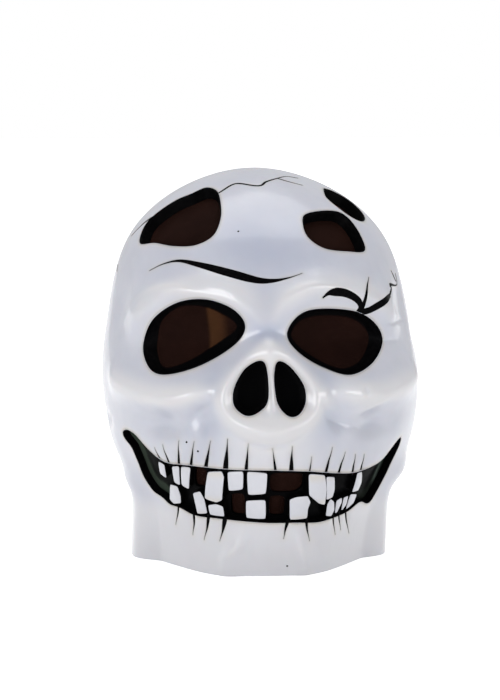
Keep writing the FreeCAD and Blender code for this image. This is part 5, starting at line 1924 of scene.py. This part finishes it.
class MaskStage(bpy.types.PropertyGroup):
    """Floor, light and camera."""

    floor_colour: bpy.props.FloatVectorProperty(name="Floor", description="Colour of the floor",
                                                subtype="COLOR", size=3, min=0, max=1,
                                                default=(0.8, 0.8, 0.8))
    floor_glow: amount("Floor glow", "How much whiter the floor looks than it is lit", 0.8, min=0, max=1)
    ambient: amount("Ambient", "Strength of the even light from the front", 0.22, min=0, max=2)
    surround: amount("Surround", "Strength of the even light from behind", 0.6, min=0, max=2)
    camera_azimuth: amount("Azimuth", "Camera's turn round the mask", math.radians(-3.6), subtype="ANGLE")
    camera_elevation: amount("Elevation", "Camera's rise above the horizon", math.radians(7.5),
                             subtype="ANGLE")
    camera_distance: amount("Distance", "From the camera to its aim", 1.6, min=0.3, unit="LENGTH")
    aim_left: amount("Aim left", "Camera aim beside the mask's middle", 0.0062, unit="LENGTH")
    aim_up: amount("Aim up", "Camera aim above the mask's middle", 0.0085, unit="LENGTH")
    lens: amount("Lens", "Focal length in millimetres", 126.2, min=20)
    key_watts: amount("Key lamp", "Power of the upper left soft box", 6.9, min=0, subtype="POWER")
    fill_watts: amount("Fill lamp", "Power of the right soft box", 6.2, min=0, subtype="POWER")
    top_watts: amount("Top lamp", "Power of the soft box overhead", 4.4, min=0, subtype="POWER")


# ---- operators


class MASK_OT_skin(bpy.types.Operator):
    """Models the cast latex skin with its openings, turned-in edges and back slit"""
    bl_idname = "mask.skin"
    bl_label = "Latex Skin"

    def execute(self, context):
        complete(make_skin(), ROOT_BODY, ["latex_skin"], angle=50)
        return {"FINISHED"}


class MASK_OT_mouth(bpy.types.Operator):
    """Models the black floor of the grin and both rows of teeth"""
    bl_idname = "mask.mouth"
    bl_label = "Mouth and Teeth"

    def execute(self, context):
        complete(make_mouth_floor(), ROOT_BODY)
        for name, teeth in (("upper_teeth", UPPER_TEETH), ("lower_teeth", LOWER_TEETH)):
            complete(make_teeth(name, teeth), ROOT_BODY, angle=55)
        return {"FINISHED"}


class MASK_OT_painted_lines(bpy.types.Operator):
    """Paints the skull's cracks and the roots of its teeth"""
    bl_idname = "mask.painted_lines"
    bl_label = "Painted Lines"

    def execute(self, context):
        specks = [Line([(azimuth + x, height + z) for x, z in SPECK_POINTS], SPECK_SIZE, 0.5, 0.3, 0.2)
                  for azimuth, height in SPECKS]
        groups = (("painted_cracks", CRACK_LINES + THIN_CRACK_LINES + specks, CRACK_WIDENED),
                  ("painted_roots", ROOTS, PAINT_WIDENED))
        for name, lines, widened in groups:
            complete(make_lines(name, lines, widened), ROOT_BODY, angle=60, recalculate=True)
        return {"FINISHED"}


class MASK_OT_windows(bpy.types.Operator):
    """Stretches brown mesh behind the eyes, nose, mouth and broken crown"""
    bl_idname = "mask.windows"
    bl_label = "Mesh Windows"

    def execute(self, context):
        for node, shape in PANELS.items():
            panel, size, area = make_panel(node, *shape)
            complete(panel, ROOT_BODY, [node])
            [side * MM for side in size]
            area * MM * MM
        return {"FINISHED"}


class MASK_OT_fitting_pads(bpy.types.Operator):
    """Sews the foam pads inside the forehead, crown and temples"""
    bl_idname = "mask.fitting_pads"
    bl_label = "Fitting Pads"

    def execute(self, context):
        wall = inner_wall()
        for node, shape in PAD_PLACES.items():
            pad = make_pad(wall, *shape).make(node + "_cushion", pad_cloth)
            complete(pad, ROOT_BODY, [node], angle=60, recalculate=True)
        return {"FINISHED"}


class MASK_OT_closure(bpy.types.Operator):
    """Rivets two folded straps beside the slit, with hook and loop pads and a latex flap behind it"""
    bl_idname = "mask.closure"
    bl_label = "Neck Closure"

    def execute(self, context):
        half = STRAP_WIDTH / 2
        for name, height in STRAP_HEIGHTS.items():
            tab = f"{name}_tab"
            shell = Shell()
            add_swept_strap(shell, strap_path(), height, STRAP_WIDTH, STRAP_THICKNESS)
            strap = shell.make(f"{name}_strap", webbing)
            complete(strap, None, [f"{name}_strap_anchor", f"{name}_strap_tab"],
                     recalculate=True)
            bend = behind([BEND_START, BEND_END], height, STRAP_MIDDLE) * MM
            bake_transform(strap)
            shell = Shell()
            left, right = PAD_LEFT + PAD_INSET, STRAP_END - PAD_INSET
            low, high = height - half + PAD_INSET, height + half - PAD_INSET
            add_back_plate(shell, left, right, low, high, HOOK_INNER + 0.1, HOOK_OUTER)
            add_hooks(shell, left, right, low, high, HOOK_INNER + 0.1)
            hooks = shell.make(f"{name}_hooks", hook_plastic)
            complete(hooks, tab, [f"{name}_hook_pad"], recalculate=True)
            shell = Shell()
            add_back_plate(shell, PAD_LEFT, STRAP_END, height - half, height + half, GLUE, LOOP_OUTER)
            loops = shell.make(f"{name}_loops", loop_pile)
            complete(loops, ROOT_BODY, [f"{name}_loop_pad"], recalculate=True)
            seam = make_stitches(f"{name}_anchor_stitches", height, [ANCHOR_SEAM])
            complete(seam, ROOT_BODY, recalculate=True)
            seam = make_stitches(f"{name}_tab_stitches", height, [left + SEAM_MARGIN, right - SEAM_MARGIN],
                                 along=(left + STITCH_INSET, right))
            complete(seam, tab, recalculate=True)
            complete(make_rivets(f"{name}_rivets", height), ROOT_BODY,
                     [f"{name}_strap_rivets"], recalculate=True)
        for node in ("slit_backing_flap", "slit_stop_patch"):
            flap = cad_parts[node]
            flap.data.materials.clear()
            flap.data.materials.append(finish_of(inner_latex))
        return {"FINISHED"}


class MASK_OT_stage(bpy.types.Operator):
    """Sets the floor, the studio light and the camera"""
    bl_idname = "mask.stage"
    bl_label = "Stage"

    def execute(self, context):
        stage = context.scene.mask_stage
        bpy.ops.mesh.primitive_plane_add(size=FLOOR_SIZE, location=(0, 0, CAD_LOW[2]))
        floor = context.object
        floor.name = "floor"
        floor.data.materials.append(floor_finish(stage))
        set_world(stage)
        soft_box("key_lamp", (-0.8, -1.05, 0.2), 0.6, 0.5, stage.key_watts)
        soft_box("fill_lamp", (0.95, -0.95, 0.14), 0.6, 0.6, stage.fill_watts)
        soft_box("top_lamp", (0.0, 0.1, 1.15), 1.0, 0.8, stage.top_watts)
        place_camera(stage)
        context.scene.view_settings.view_transform = "Standard"
        return {"FINISHED"}


OPERATORS = (MASK_OT_skin, MASK_OT_mouth, MASK_OT_painted_lines, MASK_OT_windows, MASK_OT_fitting_pads,
             MASK_OT_closure, MASK_OT_stage)


class MASK_PT_panel(bpy.types.Panel):
    """Lists the mask's pieces, colours and stage"""
    bl_label = "Latex Skull Mask"
    bl_idname = "MASK_PT_panel"
    bl_space_type = "VIEW_3D"
    bl_region_type = "UI"
    bl_category = "Mask"

    def draw(self, context):
        for operator in OPERATORS:
            self.layout.operator(operator.bl_idname)
        for group in (context.scene.mask_colours, context.scene.mask_stage):
            box = self.layout.box()
            for name in group.__annotations__:
                box.prop(group, name)


CLASSES = (MaskColours, MaskStage, *OPERATORS, MASK_PT_panel)


def register():
    for entry in CLASSES:
        bpy.utils.register_class(entry)
    bpy.types.Scene.mask_colours = bpy.props.PointerProperty(type=MaskColours)
    bpy.types.Scene.mask_stage = bpy.props.PointerProperty(type=MaskStage)


def unregister():
    del bpy.types.Scene.mask_stage
    del bpy.types.Scene.mask_colours
    for entry in reversed(CLASSES):
        bpy.utils.unregister_class(entry)


def main():
    register()
    bpy.ops.object.select_all(action="DESELECT")
    for operator in OPERATORS:
        group, name = operator.bl_idname.split(".")
        getattr(getattr(bpy.ops, group), name)()


if __name__ == "__main__":
    main()
